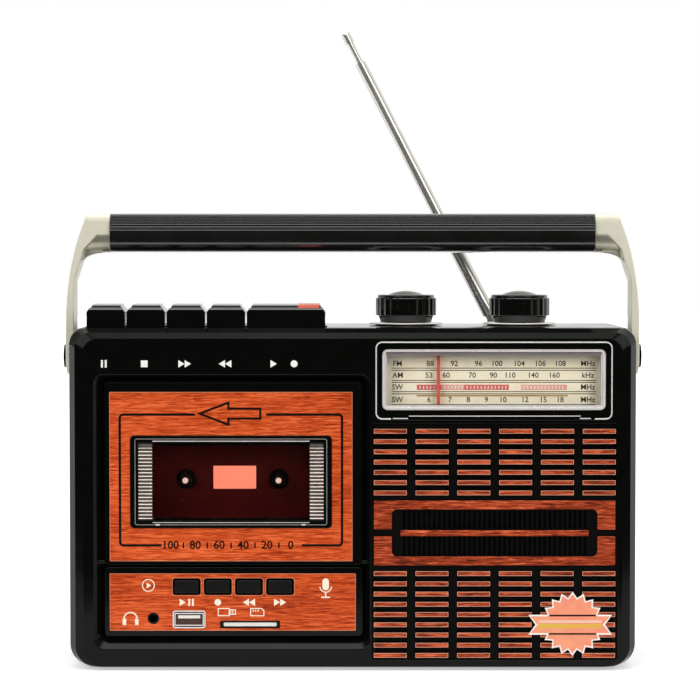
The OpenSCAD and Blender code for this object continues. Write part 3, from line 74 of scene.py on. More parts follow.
def noiseLayer(tree, scale, detail, rough=0.55, twist=0.0):
    # noise on Object coordinates, stretched by a scale for each axis
    place = addNode(tree, "ShaderNodeTexCoord")
    stretch = addNode(tree, "ShaderNodeMapping", {"Scale": scale})
    noise = addNode(tree, "ShaderNodeTexNoise",
                    {"Scale": 1.0, "Detail": detail, "Roughness": rough, "Distortion": twist})
    tree.links.new(place.outputs["Object"], stretch.inputs["Vector"])
    tree.links.new(stretch.outputs["Vector"], noise.inputs["Vector"])
    return noise.outputs["Fac"]


def maths(tree, operation, a, b, clamp=False):
    made = addNode(tree, "ShaderNodeMath", operation=operation, use_clamp=clamp)
    for socket, value in zip(made.inputs, (a, b)):
        if isinstance(value, (int, float)):
            socket.default_value = value
        else:
            tree.links.new(value, socket)
    return made.outputs[0]


def spread(tree, value, low, high, toLow=0.0, toHigh=1.0):
    # a straight run from one range to another, held at both ends
    made = addNode(tree, "ShaderNodeMapRange", {"From Min": low, "From Max": high})
    tree.links.new(value, made.inputs["Value"])
    for label, bound in (("To Min", toLow), ("To Max", toHigh)):
        if isinstance(bound, (int, float)):
            made.inputs[label].default_value = bound
        else:
            tree.links.new(bound, made.inputs[label])
    return made.outputs["Result"]


def mixColour(tree, amount, a, b):
    # the Mix node's colour sockets: amount 0, colours 6 and 7, result 2
    made = addNode(tree, "ShaderNodeMix", data_type="RGBA")
    for socket, value in zip((made.inputs[0], made.inputs[6], made.inputs[7]), (amount, a, b)):
        if isinstance(value, (int, float, tuple)):
            socket.default_value = value
        else:
            tree.links.new(value, socket)
    return made.outputs[2]


# printed wood: long streaks along X, fine fibres, thin dark pores and a slow change of tone
# a layer is its scale along x, y and z in waves per metre, its detail, its roughness and its twist
woodPrint = dict(streak=((105, 300, 1350), 4, 0.58, 0.9), streakShare=0.66,
                 fibre=((300, 400, 3400), 3, 0.6), fibreShare=0.22, slow=((10, 20, 34), 2), slowShare=0.22,
                 levelFrom=(0.42, 0.68), pore=((85, 300, 2300), 2, 0.5, 0.8), poreFrom=(0.54, 0.66),
                 poreDepth=0.62, glossFrom=(0.3, 0.7), gloss=(0.28, 0.46))


def woodGroup(p):
    # the level is a weighted sum of the layers, lowered at the pores; it runs from Dark by Middle to Light
    group, given, out = newGroup("woodGrain", dict.fromkeys(("Dark", "Middle", "Light"), "NodeSocketColor"))
    fibre = noiseLayer(group, *p["fibre"])
    mixed = maths(group, "MULTIPLY", noiseLayer(group, *p["streak"]), p["streakShare"])
    mixed = maths(group, "ADD", mixed, maths(group, "MULTIPLY", fibre, p["fibreShare"]))
    slow = maths(group, "MULTIPLY", noiseLayer(group, *p["slow"]), p["slowShare"])
    level = spread(group, maths(group, "ADD", mixed, slow), *p["levelFrom"])
    pores = spread(group, noiseLayer(group, *p["pore"]), *p["poreFrom"], 0.0, p["poreDepth"])
    level = maths(group, "MULTIPLY", level, maths(group, "SUBTRACT", 1.0, pores))
    lower = mixColour(group, maths(group, "MULTIPLY", level, 2.0, True),
                      given.outputs["Dark"], given.outputs["Middle"])
    upper = maths(group, "SUBTRACT", maths(group, "MULTIPLY", level, 2.0), 1.0, True)
    group.links.new(mixColour(group, upper, lower, given.outputs["Light"]), out.inputs["Colour"])
    group.links.new(spread(group, fibre, *p["glossFrom"], *p["gloss"]), out.inputs["Roughness"])
    group.links.new(level, out.inputs["Height"])
    return group


# moulded or polished skin: fine texture, smears that change the gloss, a little tone
skinTouch = dict(fine=((5200, 5200, 5200), 2), smear=((34, 34, 60), 4, 0.6, 0.4), tone=((120, 120, 120), 3),
                 smearFrom=(0.35, 0.68), toneFrom=(0.35, 0.72))


def skinGroup(p):
    # roughness runs from Smooth to Rough with the smears, colour from Base to Worn with the tone
    group, given, out = newGroup("surfaceSkin", dict(Smooth="NodeSocketFloat", Rough="NodeSocketFloat",
                                                     Base="NodeSocketColor", Worn="NodeSocketColor"))
    smear = noiseLayer(group, *p["smear"])
    tone = spread(group, noiseLayer(group, *p["tone"]), *p["toneFrom"])
    group.links.new(spread(group, smear, *p["smearFrom"], given.outputs["Smooth"], given.outputs["Rough"]),
                    out.inputs["Roughness"])
    group.links.new(mixColour(group, tone, given.outputs["Base"], given.outputs["Worn"]),
                    out.inputs["Colour"])
    group.links.new(noiseLayer(group, *p["fine"]), out.inputs["Height"])
    return group


groups = {"wood": woodGroup(woodPrint), "skin": skinGroup(skinTouch)}
bumpDepth = 0.0001  # metres of relief at full strength


def finish(name, kind, colours, sockets, bump=0.0, gloss=None):
    # one finish: a group for what varies, plain values on the shader's own sockets
    made = bpy.data.materials.new(name)
    made.use_nodes = True
    tree = made.node_tree
    shader = tree.nodes["Principled BSDF"]
    source = addNode(tree, "ShaderNodeGroup", node_tree=groups[kind])
    for key, value in colours.items():
        source.inputs[key].default_value = (*value, 1)
    for key, value in zip(("Smooth", "Rough"), gloss or ()):
        source.inputs[key].default_value = value
    for key, value in sockets.items():
        shader.inputs[key].default_value = value
    tree.links.new(source.outputs["Colour"], shader.inputs["Base Color"])
    tree.links.new(source.outputs["Roughness"], shader.inputs["Roughness"])
    if bump:
        relief = addNode(tree, "ShaderNodeBump", {"Strength": bump, "Distance": bumpDepth})
        tree.links.new(source.outputs["Height"], relief.inputs["Height"])
        tree.links.new(relief.outputs["Normal"], shader.inputs["Normal"])
    return made


def plain(name, base, worn, gloss, bump, **sockets):
    # a skin finish; gloss is its lowest and highest roughness, and an underscore stands for a space
    values = {key.replace("_", " "): value for key, value in sockets.items()}
    return finish(name, "skin", {"Base": base, "Worn": worn}, values, bump, gloss)


def seeThrough(name, tint, base, gloss, ior):
    # clear plastic: lets lamp light straight through, so what lies behind is lit
    made = plain(name, base, base, gloss, 0.0, Transmission_Weight=1.0, IOR=ior)
    tree = made.node_tree
    shader = tree.nodes["Principled BSDF"]
    tree.links.remove(shader.inputs["Base Color"].links[0])
    shader.inputs["Base Color"].default_value = (*base, 1)
    path = addNode(tree, "ShaderNodeLightPath")
    clear = addNode(tree, "ShaderNodeBsdfTransparent", {"Color": (*tint, 1)})
    both = addNode(tree, "ShaderNodeMixShader")
    tree.links.new(path.outputs["Is Shadow Ray"], both.inputs[0])
    tree.links.new(shader.outputs[0], both.inputs[1])
    tree.links.new(clear.outputs[0], both.inputs[2])
    tree.links.new(both.outputs[0], tree.nodes["Material Output"].inputs["Surface"])
    return made


# polished part of the handle's elbows: under the fold, inside the bend and below a slanted line
elbowPolish = dict(foldZ=197.3, bendX=124.8, slant=(0.736, 0.676, 220.7), soft=0.25, metal=(0.15, 1.0))


def polishElbows(made, p):
    # Metallic goes from paint to metal where Object coordinates lie within all three limits
    tree = made.node_tree
    place = addNode(tree, "ShaderNodeTexCoord")
    parts = addNode(tree, "ShaderNodeSeparateXYZ")
    tree.links.new(place.outputs["Object"], parts.inputs[0])
    out = maths(tree, "ABSOLUTE", parts.outputs["X"], 0.0)
    under = spread(tree, parts.outputs["Z"], p["foldZ"] * mm, (p["foldZ"] - p["soft"]) * mm)
    inside = spread(tree, out, p["bendX"] * mm, (p["bendX"] - p["soft"]) * mm)
    slantX, slantZ, slantEnd = p["slant"]
    slant = maths(tree, "ADD", maths(tree, "MULTIPLY", out, slantX),
                  maths(tree, "MULTIPLY", parts.outputs["Z"], slantZ))
    below = spread(tree, slant, slantEnd * mm, (slantEnd - p["soft"]) * mm)
    mask = maths(tree, "MULTIPLY", maths(tree, "MULTIPLY", under, inside), below)
    shader = tree.nodes["Principled BSDF"]
    tree.links.new(spread(tree, mask, 0.0, 1.0, *p["metal"]), shader.inputs["Metallic"])


blackGloss = plain("blackGloss", (0.0020, 0.0021, 0.0019), (0.0028, 0.0029, 0.0026), (0.10, 0.18), 0.03,
                   Specular_IOR_Level=0.13)
blackSatin = plain("blackSatin", (0.0030, 0.0030, 0.0028), (0.0046, 0.0046, 0.0043), (0.26, 0.38), 0.08,
                   Specular_IOR_Level=0.16)
keyBlack = plain("keyBlack", (0.0008, 0.0008, 0.0007), (0.0012, 0.0012, 0.0011), (0.08, 0.13), 0.02,
                 Specular_IOR_Level=0.70)
knobBlack = plain("knobBlack", (0.0012, 0.0012, 0.0010), (0.0020, 0.0020, 0.0018), (0.07, 0.12), 0.02,
                  Specular_IOR_Level=0.60)
grilleBlack = plain("grilleBlack", (0.0016, 0.0014, 0.0013), (0.0026, 0.0022, 0.0020), (0.40, 0.55), 0.10,
                    Specular_IOR_Level=0.06)
gripBlack = plain("gripBlack", (0.0016, 0.0016, 0.0014), (0.0026, 0.0026, 0.0023), (0.16, 0.24), 0.02,
                  Specular_IOR_Level=1.0, Coat_Weight=0.6, Coat_Roughness=0.16)
silverTrim = plain("silverTrim", (0.88, 0.84, 0.82), (0.80, 0.76, 0.74), (0.22, 0.32), 0.02, Metallic=0.30)
# painted highlight: grey for the line where the window bezel's bevel catches the light
bevelHighlightGrey = plain("bevelHighlightGrey", (0.30, 0.28, 0.26), (0.22, 0.21, 0.19), (0.22, 0.32), 0.02, Metallic=0.30)
# painted shadow: a dim lilac grey for the top strip of the lens's border, under the ring
lensShadowPaint = plain("lensShadowPaint", (0.19, 0.17, 0.18), (0.24, 0.21, 0.20), (0.34, 0.44), 0.02, Metallic=0.20)
aerialMetal = plain("aerialMetal", (0.68, 0.665, 0.62), (0.60, 0.585, 0.545), (0.18, 0.25), 0.004,
                    Metallic=0.80, Specular_Tint=(0.30, 0.30, 0.28, 1))
armPlate = plain("armPlate", (0.72, 0.695, 0.56), (0.665, 0.640, 0.515), (0.36, 0.44), 0.004)
ribbedTin = plain("ribbedTin", (0.35, 0.31, 0.28), (0.27, 0.24, 0.21), (0.14, 0.22), 0.03, Metallic=0.75)
brightMetal = plain("brightMetal", (0.66, 0.65, 0.62), (0.54, 0.53, 0.50), (0.24, 0.40), 0.06, Metallic=1.0)
darkSteel = plain("darkSteel", (0.012, 0.012, 0.012), (0.020, 0.020, 0.019), (0.40, 0.55), 0.06,
                  Specular_IOR_Level=0.20)
wellRed = plain("wellRed", (0.052, 0.0018, 0.0024), (0.034, 0.0012, 0.0016), (0.45, 0.60), 0.05,
                Specular_IOR_Level=0.10)
windowTint = seeThrough("windowTint", (1.0, 0.88, 0.85), (1.0, 0.84, 0.80), (0.03, 0.06), 1.15)
clearLens = seeThrough("clearLens", (0.99, 0.98, 0.96), (0.99, 0.98, 0.96), (0.02, 0.05), 1.18)
creamPrint = plain("creamPrint", (0.98, 0.92, 0.74), (0.95, 0.85, 0.64), (0.45, 0.60), 0.03)
needleRed = plain("needleRed", (0.66, 0.110, 0.075), (0.58, 0.090, 0.062), (0.30, 0.42), 0.03)
tabRed = plain("tabRed", (0.66, 0.105, 0.070), (0.58, 0.085, 0.058), (0.28, 0.40), 0.03)
rubberBlack = plain("rubberBlack", (0.012, 0.012, 0.012), (0.022, 0.022, 0.021), (0.70, 0.88), 0.30)
boardGreen = plain("boardGreen", (0.012, 0.075, 0.026), (0.020, 0.110, 0.040), (0.30, 0.50), 0.06)
conePaper = plain("conePaper", (0.006, 0.006, 0.006), (0.012, 0.011, 0.011), (0.70, 0.90), 0.40)
paleSocket = plain("paleSocket", (0.86, 0.85, 0.81), (0.76, 0.75, 0.71), (0.30, 0.45), 0.04)
brassTurned = plain("brassTurned", (0.78, 0.58, 0.24), (0.66, 0.47, 0.18), (0.18, 0.32), 0.04, Metallic=1.0)
inkBlack = plain("inkBlack", (0.0030, 0.0020, 0.0016), (0.0060, 0.0040, 0.0032), (0.45, 0.60), 0.02,
                 Specular_IOR_Level=0.10)
inkWhite = plain("inkWhite", (0.90, 0.88, 0.84), (0.82, 0.80, 0.76), (0.45, 0.60), 0.02)
inkCream = plain("inkCream", (0.92, 0.82, 0.66), (0.86, 0.75, 0.58), (0.45, 0.60), 0.02)
inkBrown = plain("inkBrown", (0.030, 0.016, 0.007), (0.044, 0.025, 0.011), (0.50, 0.62), 0.02)
inkTan = plain("inkTan", (0.46, 0.29, 0.10), (0.56, 0.38, 0.16), (0.50, 0.62), 0.02)
inkRed = plain("inkRed", (0.66, 0.090, 0.080), (0.74, 0.18, 0.16), (0.45, 0.60), 0.02)
inkPink = plain("inkPink", (0.82, 0.36, 0.30), (0.86, 0.46, 0.40), (0.45, 0.60), 0.02)
# painted highlight: pale tan for the lit edges of the wood-look sheets
sheetEdgeHighlight = plain("sheetEdgeHighlight", (0.66, 0.235, 0.115), (0.54, 0.170, 0.080), (0.30, 0.42), 0.02)
# painted highlight: pale for the lit edges of the grille bars
barEdgeHighlight = plain("barEdgeHighlight", (0.74, 0.36, 0.24), (0.60, 0.27, 0.17), (0.30, 0.42), 0.02)
socketBrown = plain("socketBrown", (0.060, 0.022, 0.010), (0.036, 0.013, 0.006), (0.30, 0.45), 0.02)
badgeSalmon = plain("badgeSalmon", (0.84, 0.25, 0.15), (0.88, 0.35, 0.19), (0.20, 0.32), 0.02)
badgeYellow = plain("badgeYellow", (0.74, 0.40, 0.06), (0.68, 0.44, 0.05), (0.20, 0.32), 0.02)
badgePale = plain("badgePale", (0.86, 0.57, 0.44), (0.82, 0.51, 0.38), (0.20, 0.32), 0.02)
labelPaper = plain("labelPaper", (0.98, 0.335, 0.225), (0.95, 0.315, 0.210), (0.55, 0.70), 0.05)
woodFacing = finish("woodFacing", "wood",
                    {"Dark": (0.25, 0.018, 0.0012), "Middle": (0.60, 0.076, 0.0110),
                     "Light": (0.86, 0.175, 0.052)}, {"Specular IOR Level": 0.16}, 0.12)
# painted shade: a darker copy of the wood for the grille bars, which sit partly in shadow
woodBarsShaded = finish("woodBarsShaded", "wood",
                  {"Dark": (0.04, 0.004, 0.001), "Middle": (0.35, 0.041, 0.009),
                   "Light": (0.80, 0.165, 0.062)}, {"Specular IOR Level": 0.16}, 0.12)
polishElbows(armPlate, elbowPolish)
print("finishes made:", len(bpy.data.materials))

# every solid and its finish
dressOf = {
    blackGloss: ["front_cabinet", "rear_cabinet", "cassette_door", "media_panel", "dial_bezel",
                 "battery_door", "handle_pivots"],
    blackSatin: ["media_button_1", "media_button_2", "media_button_3", "media_button_4", "card_slot",
                 "audio_jack", "mains_inlet", "band_switch", "head_sled", "supply_spindle",
                 "take_up_spindle"],
    keyBlack: ["pause_key", "stop_key", "forward_key", "rewind_key", "play_key"],
    knobBlack: ["volume_knob", "tuning_knob"],
    wellRed: ["cassette_well"],
    grilleBlack: ["speaker_grille"],
    gripBlack: ["handle_grip"],
    silverTrim: ["dial_trim", "usb_socket", "knob_saucers"],
    aerialMetal: ["aerial_base", "aerial_tube", "aerial_middle", "aerial_tip"],
    armPlate: ["handle_arm_left", "handle_arm_right"],
    ribbedTin: ["window_strips"],
    brightMetal: ["case_screws", "key_shaft", "deck_chassis", "tape_heads", "drive_motor",
                  "battery_contacts"],
    darkSteel: ["speaker_frame"],
    woodFacing: ["door_facing", "panel_facing"],
    woodBarsShaded: ["grille_bars"],
    windowTint: ["door_window"],
    clearLens: ["dial_lens"],
    creamPrint: ["dial_scale"],
    needleRed: ["dial_pointer"],
    rubberBlack: ["rubber_feet", "drive_belt", "pinch_roller"],
    boardGreen: ["main_board", "media_board"],
    conePaper: ["speaker_cone"],
    brassTurned: ["capstan_flywheel", "motor_pulley"],
}
for dress, names in dressOf.items():
    for name in names:
        for holder in nodes[name].material_slots:
            holder.material = dress
undressed = set(nodes) - set(sum(dressOf.values(), []))
print("solids without a finish:", sorted(undressed))

# softened edges: rounding in mm, least angle of an edge in degrees, and the solids
# reach is the y up to which the edges of a group, named by its first solid, are rounded
softEdge = dict(joinAt=0.002, flat=0.5, segments=2, evenWeight=50,
                reach={"front_cabinet": -42.6}, everywhere=1e6,
                rounds=((0.24, 30.0, ["pause_key", "stop_key", "forward_key", "rewind_key", "play_key"]),
                        (0.30, 40.0, ["battery_door", "band_switch"]),
                        (0.22, 40.0, ["cassette_door", "media_panel", "grille_bars", "volume_knob",
                                      "tuning_knob"]),
                        (0.40, 40.0, ["media_button_1", "media_button_2", "media_button_3",
                                      "media_button_4", "handle_arm_left", "handle_arm_right"]),
                        (0.16, 40.0, ["dial_trim", "handle_grip"]),
                        (0.24, 16.0, ["front_cabinet"]),
                        (0.0, 16.0, ["rear_cabinet"])))


def joinGroup(p, least, reach):
    # joins loose triangles, drops stored normals, marks edges above an angle as sharp,
    # and gives those in front of the reach the weight that the bevel rounds
    group = bpy.data.node_groups.new("joinedEdges", "GeometryNodeTree")
    for side in ("INPUT", "OUTPUT"):
        group.interface.new_socket("Geometry", in_out=side, socket_type="NodeSocketGeometry")
    given, out = group.nodes.new("NodeGroupInput"), group.nodes.new("NodeGroupOutput")
    join = addNode(group, "GeometryNodeMergeByDistance", {"Distance": p["joinAt"] * mm})
    angle = addNode(group, "GeometryNodeInputMeshEdgeAngle")
    sharp = addNode(group, "FunctionNodeCompare", {"B": math.radians(least)}, operation="GREATER_THAN")
    place = addNode(group, "GeometryNodeInputPosition")
    parts = addNode(group, "ShaderNodeSeparateXYZ")
    near = addNode(group, "FunctionNodeCompare", {"B": reach * mm}, operation="LESS_THAN")
    both = addNode(group, "FunctionNodeBooleanMath", operation="AND")
    normal = addNode(group, "GeometryNodeSetMeshNormal", {"Remove Custom": True}, mode="SHARPNESS")
    weight = addNode(group, "GeometryNodeStoreNamedAttribute", {"Name": "bevel_weight_edge"},
                     data_type="FLOAT", domain="EDGE")
    value = [socket for socket in weight.inputs if socket.name == "Value" and socket.enabled][0]
    for source, target in ((given.outputs[0], join.inputs["Geometry"]),
                           (join.outputs[0], normal.inputs["Mesh"]),
                           (angle.outputs["Unsigned Angle"], sharp.inputs["A"]),
                           (place.outputs[0], parts.inputs[0]), (parts.outputs["Y"], near.inputs["A"]),
                           (sharp.outputs[0], both.inputs[0]), (near.outputs[0], both.inputs[1]),
                           (sharp.outputs[0], normal.inputs["Edge Sharpness"]),
                           (normal.outputs[0], weight.inputs["Geometry"]), (both.outputs[0], value),
                           (weight.outputs[0], out.inputs[0])):
        group.links.new(source, target)
    return group


def softenEdges(p):
    for width, least, names in p["rounds"]:
        joined = joinGroup(p, least, p["reach"].get(names[0], p["everywhere"]))
        for name in names:
            holder = nodes[name]
            holder.modifiers.new("joinEdges", "NODES").node_group = joined
            flat = holder.modifiers.new("flatFaces", "DECIMATE")
            flat.decimate_type = "DISSOLVE"
            flat.angle_limit = math.radians(p["flat"])
            flat.delimit = {"SHARP"}
            if width:
                edge = holder.modifiers.new("softEdges", "BEVEL")
                edge.limit_method = "WEIGHT"
                edge.width = width * mm
                edge.segments = p["segments"]
                edge.use_clamp_overlap = False
            even = holder.modifiers.new("evenNormals", "WEIGHTED_NORMAL")
            even.keep_sharp = True
            even.weight = p["evenWeight"]


softenEdges(softEdge)
print("edges softened on", sum(len(entry[-1]) for entry in softEdge["rounds"]), "solids")


# shapes: all in millimetres, as (points, faces); x across, y back, z up
def prism(outline, front, back):
    # an outline in x and z, carried straight from front to back and closed by two caps
    line = np.asarray(outline, float)
    count = len(line)
    depth = np.repeat([front, back], count)
    points = np.column_stack([np.tile(line[:, 0], 2), depth, np.tile(line[:, 1], 2)])
    here = np.arange(count)
    after = (here + 1) % count
    walls = np.column_stack([here, after, after + count, here + count]).tolist()
    return points, walls + [here[::-1].tolist(), (here + count).tolist()]


def band(path, width, front, back, closed=False):
    # a rectangle of the given width carried along a flat path in x and z, mitred at its corners
    line = np.asarray(path, float)
    count = len(line)
    step = np.roll(line, -1, 0) - line
    step = step / np.linalg.norm(step, axis=1, keepdims=True)
    before = np.roll(step, 1, 0)
    if not closed:
        before[0] = step[0]
        step[-1] = before[-1]
    sideA = np.column_stack([-before[:, 1], before[:, 0]])
    sideB = np.column_stack([-step[:, 1], step[:, 0]])
    mitre = (sideA + sideB) / (1 + np.sum(sideA * sideB, 1, keepdims=True))
    rims = np.stack([line + mitre * width / 2, line + mitre * width / 2,
                     line - mitre * width / 2, line - mitre * width / 2], 1)
    depth = np.broadcast_to([back, front, front, back], (count, 4))
    points = np.stack([rims[..., 0], depth, rims[..., 1]], -1).reshape(-1, 3)
    rows = np.arange(count if closed else count - 1)[:, None]
    sides = np.arange(4)[None, :]
    a = rows * 4 + sides
    b = rows * 4 + (sides + 1) % 4
    shift = ((rows + 1) % count - rows) * 4
    faces = np.stack([a, b, b + shift, a + shift], -1).reshape(-1, 4).tolist()
    return points, faces if closed else faces + [[0, 1, 2, 3], [count * 4 - k for k in (1, 2, 3, 4)]]


def turned(profile, x, z, turns=32):
    # a profile of radius and depth, turned about a line along y through x, z
    radius, depth = np.asarray(profile, float).T
    angle = np.linspace(0, 2 * np.pi, turns, endpoint=False)
    points = np.stack([x + np.outer(np.cos(angle), radius), np.broadcast_to(depth, (turns, len(depth))),
                       z + np.outer(np.sin(angle), radius)], -1).reshape(-1, 3)
    rows, cols = np.meshgrid(np.arange(turns), np.arange(len(radius) - 1), indexing="ij")
    wide = len(radius)
    after = (rows + 1) % turns
    faces = np.stack([rows * wide + cols, rows * wide + cols + 1, after * wide + cols + 1,
                      after * wide + cols], -1).reshape(-1, 4)
    return points, faces.tolist()


def ringPath(x, z, radius, count=28, start=0.0, sweep=360.0):
    # points on a circle, or on part of one
    angle = np.radians(start + np.linspace(0, sweep, count, endpoint=sweep < 360))
    return np.column_stack([x + radius * np.cos(angle), z + radius * np.sin(angle)])


def rounded(points, radius, steps=5):
    # a path whose inner corners are quadratic curves between the points a radius before and after them
    line = np.asarray(points, float)
    ahead = np.diff(line, axis=0)
    ahead = ahead / np.linalg.norm(ahead, axis=1, keepdims=True)
    t = np.linspace(0, 1, steps)[:, None]
    runs = [line[:1]]
    for corner, come, go in zip(line[1:-1], ahead[:-1], ahead[1:]):
        start, end = corner - come * radius, corner + go * radius
        runs.append((1 - t) ** 2 * start + 2 * t * (1 - t) * corner + t ** 2 * end)
    return np.concatenate(runs + [line[-1:]])


def oblong(x0, x1, z0, z1):
    # a rectangle, from its lower left corner round
    return [(x0, z0), (x1, z0), (x1, z1), (x0, z1)]


def softOblong(x0, x1, z0, z1, radius, seam=0.05):
    # the same with rounded corners, begun and ended a seam to either side of its foot's middle
    m = (x0 + x1) / 2
    return rounded([(m + seam, z0), (x1, z0), (x1, z1), (x0, z1), (x0, z0), (m - seam, z0)], radius)


figureFace = dict(capShare=0.7, steps=3)  # a capital's height as a share of the size, steps of a curve


def numerals(words, x, z, tall, front, back, bold):
    # plain figures from the built-in face, stood upright and facing the front; bold widens every stroke
    curve = bpy.data.curves.new("figures", "FONT")
    curve.body = words
    curve.align_x = "CENTER"
    curve.align_y = "CENTER"
    curve.size = tall / figureFace["capShare"]
    curve.offset = bold
    curve.extrude = (back - front) / 2
    curve.resolution_u = figureFace["steps"]
    holder = bpy.data.objects.new("figures", curve)
    mesh = holder.to_mesh()
    flat = np.empty(len(mesh.vertices) * 3)
    mesh.vertices.foreach_get("co", flat)
    across, up, out = flat.reshape(-1, 3).T
    faces = [list(face.vertices) for face in mesh.polygons]
    holder.to_mesh_clear()
    bpy.data.objects.remove(holder)
    bpy.data.curves.remove(curve)
    middle = (across.min() + across.max()) / 2
    return np.column_stack([x + across - middle, (front + back) / 2 - out, z + up]), faces


seamWeld = 2e-7  # metres


def makePiece(name, shells, dress, body):
    # joins shells into one mesh in metres, closes seams, turns faces outwards and seats it on a body
    starts = np.cumsum([0] + [len(points) for points, faces in shells])
    points = np.concatenate([points for points, faces in shells]) * mm
    faces = [[corner + start for corner in face]
             for (_, shellFaces), start in zip(shells, starts.tolist()) for face in shellFaces]
    mesh = bpy.data.meshes.new(name)
    mesh.from_pydata(points.tolist(), [], faces)
    work = bmesh.new()
    work.from_mesh(mesh)
    bmesh.ops.remove_doubles(work, verts=work.verts, dist=seamWeld)
    bmesh.ops.recalc_face_normals(work, faces=work.faces)
    work.to_mesh(mesh)
    work.free()
    mesh.materials.append(dress)
    made = bpy.data.objects.new(name, mesh)
    bpy.context.scene.collection.objects.link(made)
    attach(made, body)


# plain control marks, as shares of their height: half widths, the disc's radius, and places along x
markShare = dict(tall=0.5, arrow=0.42, bar=0.13, pauseBar=0.25, square=0.45, disc=0.46, discSteps=24,
                 togetherArrow=-0.55, togetherBars=(0.35, 0.85))


def markShapes(kind, x, z, s, p=markShare):
    # triangles, bars, a square and a disc about their own middle, then moved to x, z; s is the height
    a, b, q, t = (p[key] * s for key in ("arrow", "bar", "square", "tall"))
    arrow = [(-a, -t), (a, 0), (-a, t)]
    bar = oblong(-b, b, -t, t)
    shapes = {
        "play": [arrow],
        "pause": [np.add(bar, (side * p["pauseBar"] * s, 0)) for side in (-1, 1)],
        "stop": [oblong(-q, q, -q, q)],
        "forward": [np.add(arrow, (-a, 0)), np.add(arrow, (a, 0))],
        "record": [ringPath(0, 0, p["disc"] * s, p["discSteps"])],
        "playPause": [np.add(arrow, (p["togetherArrow"] * s, 0)),
                      *(np.add(bar, (place * s, 0)) for place in p["togetherBars"])],
    }
    shapes["rewind"] = [np.multiply(shape, (-1, 1)) for shape in shapes["forward"]]
    return [np.add(shape, (x, z)) for shape in shapes[kind]]


# black line, arrow and running scale printed on the door's facing
doorPrint = dict(left=-105.2, right=-4.8, low=56.9, high=116.2, corner=1.8, line=1.1, thick=0.05,
                 topGap=(-71.2, -39.0), footGap=(-86.5, -23.0), tip=-69.1, neck=-56.1, tail=-41.7,
                 arrowZ=116.6, headHalf=5.0, shaftHalf=2.25, arrowLine=1.0,
                 scaleX=(-82.0, -28.0), scaleMarks=(100, 80, 60, 40, 20, 0), figureTall=3.6, bold=0.09,
                 tickHalf=(0.35, 1.3))


def printDoor(p):
    # two bands run round the facing, each from the gap at the top to the gap at the foot
    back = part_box("door_facing")[0].y / mm
    front = back - p["thick"]
    leftRun = [(p["topGap"][0], p["high"]), (p["left"], p["high"]), (p["left"], p["low"]),
               (p["footGap"][0], p["low"])]
    rightRun = [(p["topGap"][1], p["high"]), (p["right"], p["high"]), (p["right"], p["low"]),
                (p["footGap"][1], p["low"])]
    shells = [band(rounded(run, p["corner"]), p["line"], front, back) for run in (leftRun, rightRun)]
    z = p["arrowZ"]
    arrow = [(p["tip"], z), (p["neck"], z - p["headHalf"]), (p["neck"], z - p["shaftHalf"]),
             (p["tail"], z - p["shaftHalf"]), (p["tail"], z + p["shaftHalf"]),
             (p["neck"], z + p["shaftHalf"]), (p["neck"], z + p["headHalf"])]
    shells.append(band(arrow, p["arrowLine"], front, back, True))
    places = np.linspace(*p["scaleX"], len(p["scaleMarks"]))
    for x, mark in zip(places, p["scaleMarks"]):
        shells.append(numerals(str(mark), x, p["low"], p["figureTall"], front, back, p["bold"]))
    w, h = p["tickHalf"]
    for x in (places[:-1] + places[1:]) / 2:
        shells.append(prism(oblong(x - w, x + w, p["low"] - h, p["low"] + h), front, back))
    makePiece("door_print", shells, inkBlack, "cassette_door")


printDoor(doorPrint)

# lines round the window: a grey ring on the bezel and paler runs at its top and foot, painted highlights of
# the bezel's bevelled inner edge, and two small catches
windowLine = dict(ring=(-98.3, -11.7, 66.3, 105.2), line=0.40, corner=1.0, proud=0.10, root=0.3,
                  runs=((-90.4, -19.5, 104.2, 0.40), (-90.4, -19.5, 67.3, 0.26)),
                  catches=(-88.1, -22.2), catchHalf=0.9, catchZ=(66.0, 66.7), catchProud=0.1)


def lineWindow(p):
    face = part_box("cassette_door")[0].y / mm
    front, back = face - p["proud"], face + p["root"]
    # painted highlight: the grey ring stands where the bezel's bevelled inner edge catches the light
    ring = band(softOblong(*p["ring"], p["corner"]), p["line"], front, back, True)
    makePiece("window_bevel_highlight_ring", [ring], bevelHighlightGrey, "cassette_door")
    # painted highlights: pale runs at the bezel's top and foot, beside the two catches
    shells = [prism(oblong(x0, x1, z - w / 2, z + w / 2), front, back) for x0, x1, z, w in p["runs"]]
    w = p["catchHalf"]
    shells += [prism(oblong(x - w, x + w, *p["catchZ"]), front - p["catchProud"], back) for x in p["catches"]]
    makePiece("window_lines", shells, silverTrim, "cassette_door")


lineWindow(windowLine)

# middles of the media buttons, from left to right
buttonRow = dict(first=-75.16, pitch=14.1, count=4)
buttonX = buttonRow["first"] + buttonRow["pitch"] * np.arange(buttonRow["count"])

# painted highlight: a pale line along the edge of the wood-look sheets, where the edge catches the light:
# round the door's, round the panel's and round each button
sheetEdge = dict(line=0.26, thick=0.03, corner=0.4, buttonZ=38.1, buttonHalf=(6.5, 4.0), buttonCorner=1.3)


def edgeSheets(p):
    for name, sheet, body in (("door_sheet_edge_highlight", "door_facing", "cassette_door"),
                              ("panel_sheet_edge_highlight", "panel_facing", "cabinet")):
        low, high = (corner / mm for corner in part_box(sheet))
        h = p["line"] / 2
        paths = [softOblong(low.x + h, high.x - h, low.z + h, high.z - h, p["corner"])]
        if sheet == "panel_facing":
            w, t = p["buttonHalf"]
            paths += [softOblong(x - w, x + w, p["buttonZ"] - t, p["buttonZ"] + t, p["buttonCorner"])
                      for x in buttonX]
        makePiece(name, [band(path, p["line"], low.y - p["thick"], low.y, True) for path in paths],
                  sheetEdgeHighlight, body)


edgeSheets(sheetEdge)

